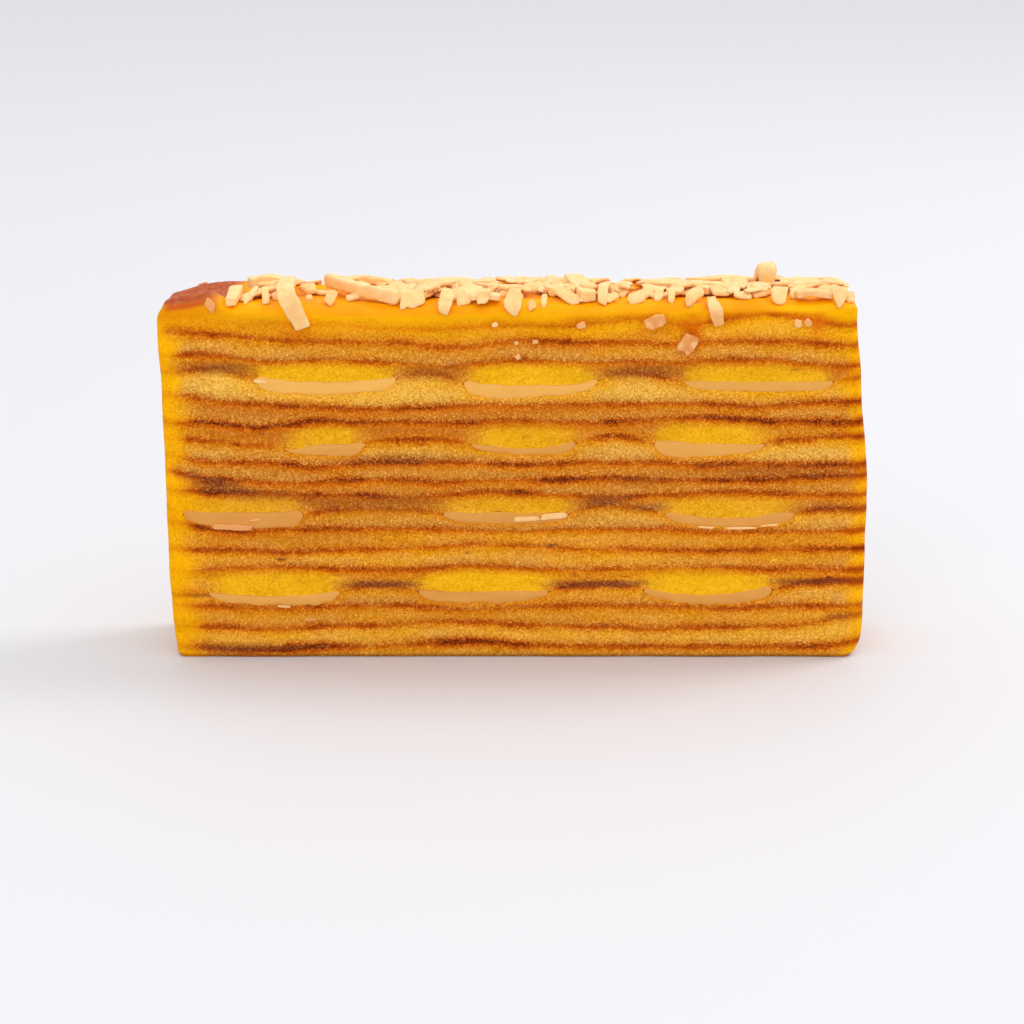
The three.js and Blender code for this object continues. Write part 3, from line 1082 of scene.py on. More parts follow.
@dataclass(frozen=True)
class SpongeFinish(Finish):
    """Moist butter sponge: golden to sandy crumb with browned lines, scorches and smooth ends, and
    painted shade in its pores, in small pits and along its base.
    """

    title: ClassVar[str] = "butter sponge"
    constants: ClassVar[dict[str, object]] = {"Specular IOR Level": 0.02}

    gold: Colour = tone(240, 164, 12)
    sand: Colour = tone(220, 158, 66)
    pocket: Colour = tone(250, 189, 14)
    smooth: Colour = tone(253, 181, 0)
    toast: Colour = tone(191, 106, 28)
    fair: Colour = tone(247, 194, 76)
    fleck: Colour = tone(248, 210, 110)
    speck: Colour = tone(196, 98, 4)
    amber: Colour = tone(214, 114, 0)
    dusk: Colour = tone(194, 118, 36)
    rust: Colour = tone(186, 82, 0)
    brown: Colour = tone(120, 38, 0)
    plum: Colour = tone(124, 58, 30)
    syrup: Colour = tone(214, 104, 6)
    grain: float = 0.135
    relief: float = 0.04
    contrast: float = 0.66
    clouding: float = 0.09
    streaks: float = 0.5
    fray: float = 0.26
    lightening: float = 0.55
    darkening: float = 0.32
    # Strength of the painted shade that darkens the crumb's pores.
    pore_shade: float = 0.4
    evenness: float = 0.55
    roughness: Span = (0.82, 0.5)

    def crumb(self, board: Board, grain: dict[str, Level]) -> tuple[Socket, Level]:
        """Mixes the plain crumb's colour.

        Args:
            board: The material's board.
            grain: The placed crumb effect.

        Returns:
            The colour, and how sandy the crumb is.
        """
        streaky = grain["Mottle"] * self.streaks * (1.0 - board.mark("smooth"))
        sandy = (board.mark("sandy") + streaky).kept()
        colour = board.mix(sandy, self.gold, self.sand)
        colour = board.mix(board.mark("pocket"), colour, self.pocket)
        colour = board.mix(board.mark("smooth"), colour, self.smooth)
        colour = board.mix(board.mark("toast").larger(0.0), colour, self.toast)
        return board.mix((board.mark("toast") * -1.0).kept(), colour, self.fair), sandy

    def baked(self, board: Board, grain: dict[str, Level], colour: Socket,
              sandy: Level) -> tuple[Socket, Level]:
        """Lays the browned lines, the scorches, the painted shade at the base and in small pits,
        and the soaked spots over the crumb.

        Args:
            board: The material's board.
            grain: The placed crumb effect.
            colour: The crumb's colour.
            sandy: How sandy it is.

        Returns:
            The colour, and how browned it is.
        """
        line = board.effect(
            BAKED_LINE, Over=board.mark("over"), Under=board.mark("under"),
            Lower_Bake=board.mark("lower_bake"), Upper_Bake=board.mark("upper_bake"),
            Fray=(grain["Light"] - grain["Dark"]) * self.fray)
        for side, faint in (("Above", self.dusk), ("Below", self.amber)):
            tinted = board.ramp(line[side] * 0.9, [(0.0, faint), (0.25, faint), (0.6, self.rust),
                                                   (0.95, self.brown)])
            if side == "Above":
                golden = sandy.span(1.0, 0.6) * line[side].span(0.7, 0.3)
                tinted = board.mix(golden, tinted, self.amber)
            colour = board.mix((line[side] * 2.0).kept(), colour, tinted)
        # The scorch colour also carries painted shade at the base and in small pits.
        char_and_shade = board.mix(board.mark("smooth"), self.plum, self.rust)
        colour = board.mix(board.mark("scorch"), colour, char_and_shade)
        return board.mix(board.mark("soak"), colour, self.syrup), line["Browning"]

    def crumb_colour(self, board: Board, grain: dict[str, Level]) -> Socket:
        """Joins the colours of the crumb, its lines, its scorches and its flecks, and darkens its
        pores as painted shade.

        Args:
            board: The material's board.
            grain: The placed crumb effect.

        Returns:
            The colour.
        """
        colour, browning = self.baked(board, grain, *self.crumb(board, grain))
        dry = (0.3 + board.mark("sandy") * 0.7) * board.mark("smooth").span(0.0, 1.0, 1.0, 0.2)
        dry = dry * browning.span(0.0, 0.8, 0.4, 0.2)
        colour = board.mix(grain["Light"] * dry, colour, self.fleck)
        dim = grain["Dark"] * board.mark("pocket").span(0.0, 1.0, self.contrast, 0.22)
        grit = board.mix(browning.span(0.1, 0.7), self.speck, self.brown)
        colour = board.mix(dim * browning.span(0.0, 0.6, 1.0, 0.6), colour, grit)
        swing = grain["Light"] * self.lightening - grain["Dark"] * self.darkening
        calm = board.mark("pocket").span(0.0, 1.0, self.contrast, self.contrast * 0.52)
        gain = 1.0 + swing * calm + grain["Mottle"] * self.clouding
        lit = board.add("VectorMath", operation="SCALE")
        board.feed(lit.inputs[0], colour)
        board.feed(lit.inputs["Scale"], gain)
        # Painted shade: the pores are darkened towards brown as if shade fell into them.
        return board.mix(grain["Pores"] * self.pore_shade, lit.outputs[0], self.brown)

    def paint(self, board: Board) -> dict[str, object]:
        """Works out the colour, the roughness and the fine relief.

        Args:
            board: The material's board.

        Returns:
            What feeds the shader, by socket.
        """
        grain = board.effect(CRUMB, Grain=self.grain,
                             Evenness=board.mark("smooth") * self.evenness)
        return {"Base Color": self.crumb_colour(board, grain),
                "Roughness": board.mark("smooth").span(0, 1, *self.roughness),
                "Normal": board.bump(grain["Height"], self.relief)}


@dataclass(frozen=True)
class BrownedTopFinish(SpongeFinish):
    """The last layer: sponge below, a smooth buttery band above and a browned crust on top."""

    title: ClassVar[str] = "browned top"
    constants: ClassVar[dict[str, object]] = {"Specular IOR Level": 0.02, "Coat Roughness": 0.3}

    dusk: Colour = tone(224, 130, 6)
    crust: Colour = tone(174, 80, 46)
    crust_dark: Colour = tone(140, 62, 46)
    glaze: Colour = tone(255, 174, 0)
    caramel: Colour = tone(222, 116, 10)
    lip: Colour = tone(212, 86, 34)
    crust_grain: float = 0.5
    coat: float = 0.07
    evenness: float = 0.8
    roughness: Span = (0.8, 0.4)

    def paint(self, board: Board) -> dict[str, object]:
        """Lays the crust and its buttery band over the sponge.

        Args:
            board: The material's board.

        Returns:
            What feeds the shader, by socket.
        """
        sockets = super().paint(board)
        speckle = board.effect(CRUMB, Grain=self.crust_grain, Evenness=0.0)
        dark = board.mix(speckle["Dark"] * 0.6, self.crust, self.crust_dark)
        dark = board.mix(speckle["Light"] * 0.14, dark, self.fleck)
        skin = board.mix(board.mark("caramel"), self.glaze, self.caramel)
        skin = board.mix(board.mark("browned"), skin, dark)
        crust = board.mark("crust")
        colour = board.mix(crust, sockets["Base Color"], skin)
        sockets["Base Color"] = board.mix(board.mark("lip"), colour, self.lip)
        sockets["Coat Weight"] = crust * self.coat
        return sockets


@dataclass(frozen=True)
class StripFinish(Finish):
    """Cheese baked inside the cake: smooth, tan and slightly streaked by the knife."""

    title: ClassVar[str] = "baked cheese"
    constants: ClassVar[dict[str, object]] = {"Specular IOR Level": 0.12}

    pale: Colour = tone(246, 186, 90)
    tan: Colour = tone(219, 148, 68)
    cloud: float = 3.0
    unevenness: float = 0.08
    roughness: Span = (0.42, 0.6)
    relief: float = 0.04
    bumpiness: float = 0.6

    def paint(self, board: Board) -> dict[str, object]:
        """Works out the colour, the roughness and the fine relief.

        Args:
            board: The material's board.

        Returns:
            What feeds the shader, by socket.
        """
        wax = board.effect(WAX, Cloud=self.cloud)
        clouds = wax["Clouds"].span(0.3, 0.7, -self.unevenness, self.unevenness)
        share = (board.mark("pale") + clouds).kept()
        return {"Base Color": board.mix(share, self.tan, self.pale),
                "Roughness": wax["Clouds"].span(0, 1, *self.roughness),
                "Normal": board.bump(wax["Height"], self.relief, self.bumpiness)}


@dataclass(frozen=True)
class GratedFinish(Finish):
    """Grated cheese: cream to pale orange, a little see-through at its thin edges."""

    title: ClassVar[str] = "grated cheese"
    constants: ClassVar[dict[str, object]] = {
        "Subsurface Weight": 0.2,
        "Subsurface Radius": (1.0, 0.7, 0.5),
        "Subsurface Scale": 0.3 * MM,
        "Specular IOR Level": 0.3,
    }

    cream: Colour = tone(255, 218, 154)
    orange: Colour = tone(252, 190, 108)
    pink: Colour = tone(230, 148, 74)
    cloud: float = 1.4
    unevenness: float = 0.7
    roughness: Span = (0.32, 0.5)
    relief: float = 0.05
    bumpiness: float = 0.7

    def paint(self, board: Board) -> dict[str, object]:
        """Works out the colour, the roughness and the fine relief.

        Args:
            board: The material's board.

        Returns:
            What feeds the shader, by socket.
        """
        wax = board.effect(WAX, Cloud=self.cloud)
        share = wax["Clouds"].span(0.3, 0.7) * self.unevenness
        colour = board.mix(share, self.cream, self.orange)
        return {"Base Color": board.mix(board.mark("toasted"), colour, self.pink),
                "Roughness": wax["Clouds"].span(0, 1, *self.roughness),
                "Normal": board.bump(wax["Height"], self.relief, self.bumpiness)}


class FloorFinish(Finish):
    """A plain pale table top."""

    title: ClassVar[str] = "pale table"
    constants: ClassVar[dict[str, object]] = {"Base Color": tone(215, 215, 218), "Roughness": 0.7}


# ---- What the oven did --------------------------------------------------------------------------


@dataclass(frozen=True)
class LayerLook:
    """How one layer came out of the oven.

    The bake is how brown its upper side is at the left, in the middle and at the right; the
    toast is how brown its crumb is there, and paler than usual below 0.
    """

    bake: Triple
    sandy: float
    toast: Triple
    pocket: float = 0.9
    under_strip: float = 0.1


LOOKS = (
    LayerLook(bake=(1.2, 1.0, 0.76), sandy=0.4, toast=(0.5, 0.18, 0.3)),
    LayerLook(bake=(0.8, 0.78, 0.74), sandy=0.45, toast=(-0.15, -0.2, -0.28)),
    LayerLook(bake=(0.84, 0.74, 0.76), sandy=0.45, toast=(0.35, 0.3, 0.2)),
    LayerLook(bake=(0.82, 0.9, 1.2), sandy=0.6, toast=(0.25, 0.2, 0.1)),
    LayerLook(bake=(0.8, 0.68, 0.74), sandy=0.3, toast=(0.55, 0.22, 0.38), pocket=0.85),
    LayerLook(bake=(0.9, 0.66, 0.86), sandy=0.5, toast=(0.15, 0.0, 0.25)),
    LayerLook(bake=(1.12, 0.66, 0.78), sandy=0.4, toast=(0.68, 0.05, 0.32)),
    LayerLook(bake=(1.08, 0.76, 0.86), sandy=0.85, toast=(0.45, 0.3, 0.03)),
    LayerLook(bake=(1.1, 0.9, 0.84), sandy=0.5, toast=(0.8, 0.52, 0.55), pocket=0.6),
    LayerLook(bake=(1.08, 0.9, 1.2), sandy=0.85, toast=(0.75, 0.6, 0.5)),
    LayerLook(bake=(1.05, 0.96, 1.1), sandy=1.0, toast=(0.65, 0.5, 0.9)),
    LayerLook(bake=(0.84, 0.78, 0.8), sandy=0.95, toast=(0.3, 0.15, -0.15), under_strip=0.3),
    LayerLook(bake=(1.15, 0.98, 1.12), sandy=0.4, toast=(1.0, 0.95, 0.5), pocket=0.75),
    LayerLook(bake=(0.92, 0.84, 0.92), sandy=0.85, toast=(0.85, 0.82, 0.35)),
    LayerLook(bake=(0.86, 0.72, 0.64), sandy=0.75, toast=(-0.45, -0.3, -0.1)),
    LayerLook(bake=(0.72, 0.64, 0.78), sandy=0.35, toast=(0.5, 0.4, 0.95), pocket=0.8),
    LayerLook(bake=(0.78, 0.82, 0.74), sandy=0.6, toast=(0.2, 0.5, 0.15)),
    LayerLook(bake=(0.28, 0.42, 0.72), sandy=0.25, toast=(0.15, 0.1, 0.03)),
    LayerLook(bake=(0.0, 0.0, 0.0), sandy=0.0, toast=(0.25, 0.1, 0.1)),
)


@dataclass(frozen=True)
class Smudge:
    """A patch that the heat or melted butter coloured; the pits use it for small spots of painted
    shade.
    """

    x: float
    z: float
    wide: float
    tall: float
    strength: float = 1.0


SCORCHES = (
    Smudge(-40.8, 42.3, 5.0, 0.9, 0.7),
    Smudge(-47.2, 41.5, 1.8, 0.35, 0.6),
    Smudge(-11.6, 41.6, 5.0, 1.0, 0.55),
    Smudge(16.6, 41.6, 7.0, 0.95, 0.65),
    Smudge(-45.5, 26.75, 2.0, 0.7, 0.7),
    Smudge(-43.7, 26.0, 2.2, 0.7, 0.85),
    Smudge(-41.5, 25.3, 2.6, 0.8, 0.85),
    Smudge(-39.0, 24.6, 2.8, 0.9, 0.85),
    Smudge(-36.8, 24.1, 2.8, 0.9, 0.9),
    Smudge(-33.8, 23.8, 3.0, 0.8, 0.75),
    Smudge(-31.0, 23.5, 3.4, 0.6, 0.45),
    Smudge(-20.0, 22.9, 11.0, 1.1, 0.5),
    Smudge(-19.3, 11.0, 6.2, 0.5, 0.85),
    Smudge(-45.9, 9.3, 3.4, 0.32, 1.0),
    Smudge(-40.0, 1.4, 9.0, 0.6, 0.75),
    Smudge(-16.7, 29.2, 6.5, 0.7, 0.5),
    Smudge(12.2, 23.1, 4.2, 0.9, 0.85),
    Smudge(18.0, 22.2, 3.5, 0.5, 0.6),
    Smudge(38.0, 27.5, 11.0, 0.8, 0.45),
    Smudge(44.0, 22.2, 6.0, 0.7, 0.4),
    Smudge(11.0, 11.0, 7.2, 0.5, 0.9),
    Smudge(42.6, 11.4, 7.2, 0.45, 0.9),
    Smudge(46.8, 6.1, 2.4, 0.6, 0.5),
    Smudge(18.0, 26.0, 5.5, 0.7, 0.35),
)

# Small pits in the cut faces, darkened as painted shade through the scorch colour.
PITS = (
    Smudge(-35.4, 32.9, 0.5, 0.22, 1.0),
    Smudge(-33.2, 14.7, 0.6, 0.2, 1.0),
    Smudge(-17.5, 23.2, 0.35, 0.2, 0.8),
    Smudge(-7.0, 15.6, 0.4, 0.2, 0.8),
    Smudge(5.0, 16.7, 0.8, 0.2, 1.0),
    Smudge(12.4, 4.9, 0.6, 0.2, 1.0),
    Smudge(8.2, 12.4, 0.4, 0.15, 0.7),
    Smudge(38.4, 42.0, 0.5, 0.2, 0.7),
)

SOAKS = (
    Smudge(24.0, 47.0, 1.5, 2.6, 1.0),
    Smudge(-46.0, 49.7, 5.0, 1.2, 0.55),
    Smudge(19.4, 47.6, 3.4, 0.8, 0.45),
    Smudge(41.3, 48.4, 1.0, 1.4, 0.9),
    Smudge(8.6, 48.8, 1.6, 0.9, 0.5),
    Smudge(29.5, 49.6, 2.5, 0.5, 0.4),
    Smudge(-30.2, 46.9, 2.2, 0.8, 0.6),
)


class Oven:
    """Works out the marks that baking left at every point of the cut faces and ends, and painted
    shade at the base and in small pits.
    """

    LEFT_SKIN = (1.0, 6.5)
    RIGHT_SKIN = (0.7, 3.6)
    NARROWED = 0.66
    NARROWING = (24.0, 30.0)
    SKIN_WAVES = ((DRIFT, 1.3, (4.0, 8.0, 2.5)), (SWELL, 1.1, (9.0, 9.0, 1.3)))
    RIGHT_WAVINESS = 0.4
    BAND = (0.5, 1.3)
    NO_LINE = 9.0
    LINE_LIFT = 0.1
    LINE_WAVES = ((SWELL, 0.16, (5.0, 5.0, 1.0)), (GRIT, 0.08, (1.3, 1.3, 1.0)),
                  (SWELL, 0.05, (0.6, 0.6, 1.0)))
    BAKE_PLACES = (-40.0, 2.0, 44.0)
    BAKE_WAVES = ((DRIFT, 0.28, (7.0, 7.0, 1.0)), (SWELL, 0.12, (2.6, 2.6, 1.0)),
                  (GRIT, 0.14, (0.9, 0.9, 1.0)))
    BAKE_STRENGTH = 0.93
    SKIN_FADE = 0.76
    TIP_FADE = 0.6
    TOAST_PLACES = (-34.0, 0.0, 34.0)
    LEFT_TOAST_FADE = 0.65
    LEFT_TOAST_REACH = (8.0, 2.5)
    TOAST_BY_HEIGHT = (0.65, 1.4)
    SANDY_FOOT = 1.75
    SANDY_WAVES = ((SWELL, 0.2, (6.0, 6.0, 1.2)),)
    TOAST_WAVES = ((DRIFT, 0.16, (9.0, 9.0, 1.5)),)
    SMUDGE_WAVES = ((SWELL, 0.35, (2.2, 6.0, 0.8)),)
    SMUDGE_EDGE = (1.75, 0.1)
    MIRROR = 4.0
    END_FADE = (0.1, 0.42)
    SHIFT_SEED = 17.3
    BAKE_SEED = 9.1
    TIP = (0.02, 0.35)
    LOWER_TIP = (0.02, 0.3)
    MOIST = (0.05, 0.95)
    MOIST_WAVES = ((SWELL, 0.28, (1.6, 1.6, 4.0)), (GRIT, 0.14, 0.5))
    # Painted contact shade: how close to the base the lowest layer is darkened.
    FOOT_SHADE = (0.9, 0.2)

    def smudged(self, smudges: Sequence[Smudge], points: Array) -> Array:
        """Adds up smudges; the back face has them mirrored and the ends' middles have none.

        Args:
            smudges: The smudges of the front face.
            points: Points in mm.

        Returns:
            How strongly each point is smudged, 0 to 1.
        """
        total = np.zeros(len(points))
        deep = ease(points[:, 1], LOAF.front, LOAF.back)
        ragged = uneven(points, self.SMUDGE_WAVES)
        for smudge in smudges:
            centre = blend(smudge.x, self.MIRROR - smudge.x, np.round(deep))
            far = np.hypot((points[:, 0] - centre) / smudge.wide,
                           (points[:, 2] - smudge.z) / smudge.tall)
            total = np.maximum(total, smudge.strength * ease(far + ragged, *self.SMUDGE_EDGE))
        return total * ease(np.abs(deep - 0.5), *self.END_FADE)

    def skins(self, points: Array) -> tuple[Array, Array, Array]:
        """Works out where the smooth skins of the two ends reach.

        Args:
            points: Points in mm.

        Returns:
            How much of the left-hand skin and of the right-hand one each point has, and how
            loosely their edges waver there.
        """
        x, _, z = points.T
        loose = uneven(points, self.SKIN_WAVES)
        narrow = blend(1.0, self.NARROWED, ease(z, *self.NARROWING))
        left = 1 - ease((x - LOAF.left(z) + loose) / narrow, *self.LEFT_SKIN)
        right = 1 - ease(LOAF.right(z) - x + self.RIGHT_WAVINESS * loose, *self.RIGHT_SKIN)
        return left, right, loose

    def line_shift(self, k: int, x: Array, y: Array) -> Array:
        """How far the line over layer k wavers up or down at places of the slice."""
        return uneven(at_height(x, y, self.SHIFT_SEED * k), self.LINE_WAVES) + self.LINE_LIFT

    def line_bake(self, k: int, x: Array, y: Array, skin: Array) -> Array:
        """Works out how brown the line over layer k is.

        Args:
            k: The layer under the line.
            x: Places along the slice.
            y: Places across it.
            skin: How much of the smooth left-hand end is there.

        Returns:
            The browning, fainter on the skin and at the strips' tips.
        """
        patchy = 1 + uneven(at_height(x, y, self.BAKE_SEED * k), self.BAKE_WAVES)
        bake = np.interp(x, self.BAKE_PLACES, LOOKS[k - 1].bake)
        tips = ease(LOAF.pocket[k].at(x, y), *self.TIP)
        faded = (1 - self.SKIN_FADE * skin) * (1 - self.TIP_FADE * tips)
        return self.BAKE_STRENGTH * bake * patchy * faded

    def over_strip(self, k: int, points: Array, low: Array, high: Array) -> Array:
        """Works out where the crumb over a strip on layer k is yellow and moist.

        Args:
            k: The layer under the strip.
            points: Points of the next layer.
            low: That layer's underside at the points.
            high: Its upper side.

        Returns:
            The share, strongest low in the layer.
        """
        x, y, z = points.T
        wander = uneven(points, self.MOIST_WAVES)
        filled = ease(LOAF.pocket[k].at(x, y) + wander, *self.MOIST)
        return filled * (0.5 + 0.5 * ease(z, high + 0.2, blend(low, high, 0.55)))

    def toasted(self, look: LayerLook, points: Array, lift: Array, kept: Array) -> Array:
        """Works out how toasted the crumb is; it is paler than usual below 0.

        Args:
            look: The layer's look.
            points: Points in mm.
            lift: How high in the layer they lie, 0 to 1.
            kept: How much of the toasting each keeps.

        Returns:
            The toasting from -1 to 1.
        """
        x, _, z = points.T
        toast = np.interp(x, self.TOAST_PLACES, look.toast)
        toast = np.clip(toast + uneven(points, self.TOAST_WAVES), -1, 1) * kept
        toast *= 1 - self.LEFT_TOAST_FADE * ease(x - LOAF.left(z), *self.LEFT_TOAST_REACH)
        browner = np.clip(toast * blend(*self.TOAST_BY_HEIGHT, lift), 0, 1)
        return np.where(toast > 0, browner, toast)

    def marks(self, number: int, points: Array) -> dict[str, Array]:
        """Works out all marks of one layer's outer side.

        Args:
            number: The layer, counted from the base.
            points: Points of its outer side.

        Returns:
            The marks by name.
        """
        x, y, z = points.T
        look = LOOKS[number - 1]
        left_skin, right_skin, loose = self.skins(points)
        low = LOAF.floor_of(number, x, y)
        high = LOAF.roof_of(number, x, y)
        over, under = np.full((2, len(x)), self.NO_LINE)
        lower_bake, upper_bake, pocket = np.zeros((3, len(x)))
        if number > 1:
            k = number - 1
            over = z - low - self.line_shift(k, x, y)
            lower_bake = self.line_bake(k, x, y, left_skin)
            lower_bake *= 1 - ease(LOAF.half[k].at(x, y), *self.LOWER_TIP)
            pocket = look.pocket * self.over_strip(k, points, low, high)
        if number < LOAF.COUNT:
            under = high + self.line_shift(number, x, y) - z
            upper_bake = self.line_bake(number, x, y, left_skin)
            covered = ease(LOAF.half[number].at(x, y), *self.TIP)
            upper_bake *= 1 - covered * (1 - look.under_strip)
        lift = np.clip((z - low) / (high - low), 0, 1)
        sandy = look.sandy * self.SANDY_FOOT * (1 - lift) + uneven(points, self.SANDY_WAVES)
        smooth = np.maximum(left_skin * 0.9, right_skin * 0.85)
        if number == LOAF.COUNT:
            smooth = np.maximum(smooth, 0.5 + 0.5 * ease(over + 0.3 * loose, *self.BAND))
        if number == LOAF.COUNT - 1:
            smooth = np.maximum(smooth, 0.5 * lift)
        kept = (1 - 0.5 * smooth) * (1 - pocket) * (1 - 0.9 * np.maximum(left_skin, right_skin))
        # Painted contact shade along the base of the lowest layer.
        foot = 0.6 * ease(z, *self.FOOT_SHADE) if number == 1 else 0.0
        scorch = self.smudged(SCORCHES, points) * (1 - 0.45 * left_skin) * (1 - pocket)
        return {
            "over": over,
            "under": under,
            "lower_bake": lower_bake,
            "upper_bake": upper_bake,
            "pocket": pocket * (1 - left_skin),
            "sandy": np.clip(sandy, 0, 1) * (1 - smooth) * (1 - pocket),
            "toast": self.toasted(look, points, lift, kept),
            "smooth": smooth,
            # The scorch mark joins real scorches with painted shade in pits and at the base.
            "scorch": np.maximum(scorch, np.maximum(self.smudged(PITS, points), foot)),
            "soak": self.smudged(SOAKS, points),
        }


OVEN = Oven()


# ---- The layers ---------------------------------------------------------------------------------


@dataclass
class SpongeLayer(Piece):
    """One layer of the cake as a closed skin: a fine outer wall and plain hidden sides."""

    slot: ClassVar[str] = "sponge"
    CRUMBLY: ClassVar[Waves] = ((GRIT, 0.04, 1.1), (SWELL, 0.045, 0.5))
    WAVY: ClassVar[Waves] = ((DRIFT, 0.16, (9.0, 9.0, 6.0)), (SWELL, 0.05, 3.0))
    SAMPLES: ClassVar[int] = 60
    FEWEST_ROWS: ClassVar[int] = 6
    SMOOTHED: ClassVar[float] = 0.85
    GROOVE: ClassVar[Span] = (-0.03, 0.3)
    HOLE_DEPTH: ClassVar[float] = -0.3
    HOLE_SIZE: ClassVar[Triple] = (0.9, 0.9, 0.6)
    HOLE_EDGE: ClassVar[Span] = (0.72, 0.95)
    TUCK: ClassVar[float] = 0.35
    SHEET_MARGIN: ClassVar[float] = 0.004
    BAND_FILL: ClassVar[Span] = (0.03, 0.94)
    WALL_SHARE: ClassVar[float] = 0.8
    FOOT_BAND: ClassVar[Span] = (0.81, 0.89)
    HEAD_BAND: ClassVar[Span] = (0.9, 0.99)

    number: int
    columns: int = 450
    depths: int = 72
    row_height: float = 0.24
    coarse: int = 6
    cap_inset: float = 0.8
    wall_bands: int = 8

    def node(self) -> str:
        """The layer's CAD node."""
        return LOAF.layer_name(self.number)

    def shape(self) -> Thing:
        """Makes the bare layer."""
        return self.skin().to_object("cake_" + self.node())

    def outline(self) -> tuple[Array, Array]:
        """Lists the outline's points as shares along and across, going round from the left front.

        Returns:
            The grid columns and the grid rows of the points.
        """
        a, b = self.columns, self.depths
        i = np.concatenate([np.arange(a), np.full(b, a), np.arange(a, 0, -1), np.zeros(b, int)])
        j = np.concatenate([np.zeros(a, int), np.arange(b), np.full(a, b), np.arange(b, 0, -1)])
        return i, j

    def outward(self, u: Array, v: Array, z: Array) -> Array:
        """Finds the outline's level outward directions.

        Args:
            u: Shares along the slice.
            v: Shares across it.
            z: Heights.

        Returns:
            One unit vector a point.
        """
        x, y = LOAF.footprint(u, v, z)
        corner = LOAF.CORNER
        inner_x = np.clip(x, LOAF.left(z) + corner, LOAF.right(z) - corner)
        inner_y = np.clip(y, LOAF.front + corner, LOAF.back - corner)
        away = np.stack([x - inner_x, y - inner_y, np.zeros(len(x))], axis=1)
        return away / np.linalg.norm(away, axis=1, keepdims=True)

    def relief(self, points: Array, marks: dict[str, Array]) -> Array:
        """Works out how far the wall stands out from the plain outline.

        Args:
            points: The wall's points.
            marks: Their marks.

        Returns:
            Distances outward in mm.
        """
        rough = 1 - self.SMOOTHED * marks["smooth"]
        nearest = np.minimum(np.abs(marks["over"]), np.abs(marks["under"]))
        deep, wide = self.GROOVE
        groove = deep * np.exp(-(nearest / wide) ** 2) * (1 - marks["smooth"])
        holes = self.HOLE_DEPTH * ease(GRIT.at(points, self.HOLE_SIZE), *self.HOLE_EDGE)
        return uneven(points, self.WAVY) + groove + rough * (uneven(points, self.CRUMBLY) + holes)

    def rows(self) -> int:
        """Counts the rows of faces that suit the layer's thickness.

        Returns:
            How many rows the wall gets.
        """
        x = np.linspace(LOAF.end_left.min(), LOAF.end_right.max(), self.SAMPLES)
        y = np.full(self.SAMPLES, (LOAF.front + LOAF.back) / 2)
        thick = LOAF.roof_of(self.number, x, y) - LOAF.floor_of(self.number, x, y)
        return max(self.FEWEST_ROWS, round(float(thick.mean()) / self.row_height))

    def level(self, u: Array, v: Array, upper: bool, inset: float = 0.0) -> Array:
        """Places points on the layer's upper or under side.

        Args:
            u: Shares along the slice.
            v: Shares across it.
            upper: Which side.
            inset: How far inside the outline the shares' ends lie.

        Returns:
            The points.
        """
        side = LOAF.roof_of if upper else LOAF.floor_of
        z = np.full(len(u), LOAF.middle[min(self.number, LOAF.COUNT - 1)].z.mean())
        for _ in range(2):
            x, y = LOAF.footprint(u, v, z, inset)
            z = side(self.number, x, y)
        return np.stack([x, y, z], axis=1)

    def wall(self, rows: int) -> tuple[Array, dict[str, Array]]:
        """Places the wall's points from its foot up.

        Args:
            rows: Rows of faces.

        Returns:
            The points and their marks.
        """
        i, j = self.outline()
        u, v = i / self.columns, j / self.depths
        foot = self.level(u, v, upper=False)
        head = self.level(u, v, upper=True)
        share = np.linspace(0, 1, rows + 1)[:, None]
        z = blend(foot[None, :, 2], head[None, :, 2], share).ravel()
        u = np.tile(u, rows + 1)
        v = np.tile(v, rows + 1)
        x, y = LOAF.footprint(u, v, z)
        points = np.stack([x, y, z], axis=1)
        marks = OVEN.marks(self.number, points)
        out = self.outward(u, v, z)
        stand = self.relief(points, marks)
        if self.number == 1:
            stand = stand - self.TUCK * ease(z, 0.5, 0.0)
        return points + out * stand[:, None], marks

    def cap(self, upper: bool) -> tuple[Array, Array, Array]:
        """Makes one plain hidden side.

        Args:
            upper: Whether it is the upper side.

        Returns:
            Its points, its square faces, and its rim's places among its points.
        """
        a, b = self.columns // self.coarse, self.depths // self.coarse
        i, j = grid_places(range(a + 1), range(b + 1))
        points = self.level(i / a, j / b, upper, self.cap_inset)
        index = np.arange((a + 1) * (b + 1)).reshape(a + 1, b + 1)
        rim = np.concatenate([index[:-1, 0], index[-1, :-1], index[:0:-1, -1], index[0, :0:-1]])
        return points, squares(index), rim

    def stitch(self, ring: Array, rim: Array) -> Array:
        """Joins the wall's fine edge to a hidden side's coarse rim.

        Args:
            ring: Places of the wall's edge points, going round.
            rim: Places of the rim's points, one for every few of those.

        Returns:
            The triangles.
        """
        n = self.coarse
        after = np.roll(ring, -1).reshape(-1, n)
        before = ring.reshape(-1, n)
        near = rim[:, None].repeat(n, axis=1)
        following = np.roll(rim, -1)[:, None].repeat(n, axis=1)
        coarse = np.where(np.arange(n) < n // 2, near, following)
        fans = np.stack([before, after, coarse], axis=-1).reshape(-1, 3)
        bridge = np.stack([before[:, n // 2], np.roll(rim, -1), rim], axis=-1)
        return np.concatenate([fans, bridge])

    def wall_uv(self, rows: int, share: float) -> Array:
        """Unrolls the wall into bands for baked textures.

        Args:
            rows: The wall's rows of faces.
            share: The part of the sheet's height that the bands take.

        Returns:
            The four corners' places, for each face.
        """
        count = 2 * (self.columns + self.depths)
        long = math.ceil(count / self.wall_bands)
        row, column = grid_places(range(rows), range(count))
        wide = (1 - 2 * self.SHEET_MARGIN) / long
        tall = share / self.wall_bands
        start, fill = self.BAND_FILL
        places = [(self.SHEET_MARGIN + wide * (column % long + right),
                   tall * (column // long + start + fill * (row + up) / rows))
                  for right, up in ((0, 0), (1, 0), (1, 1), (0, 1))]
        return np.stack([np.stack(corner, axis=-1) for corner in places], axis=1)

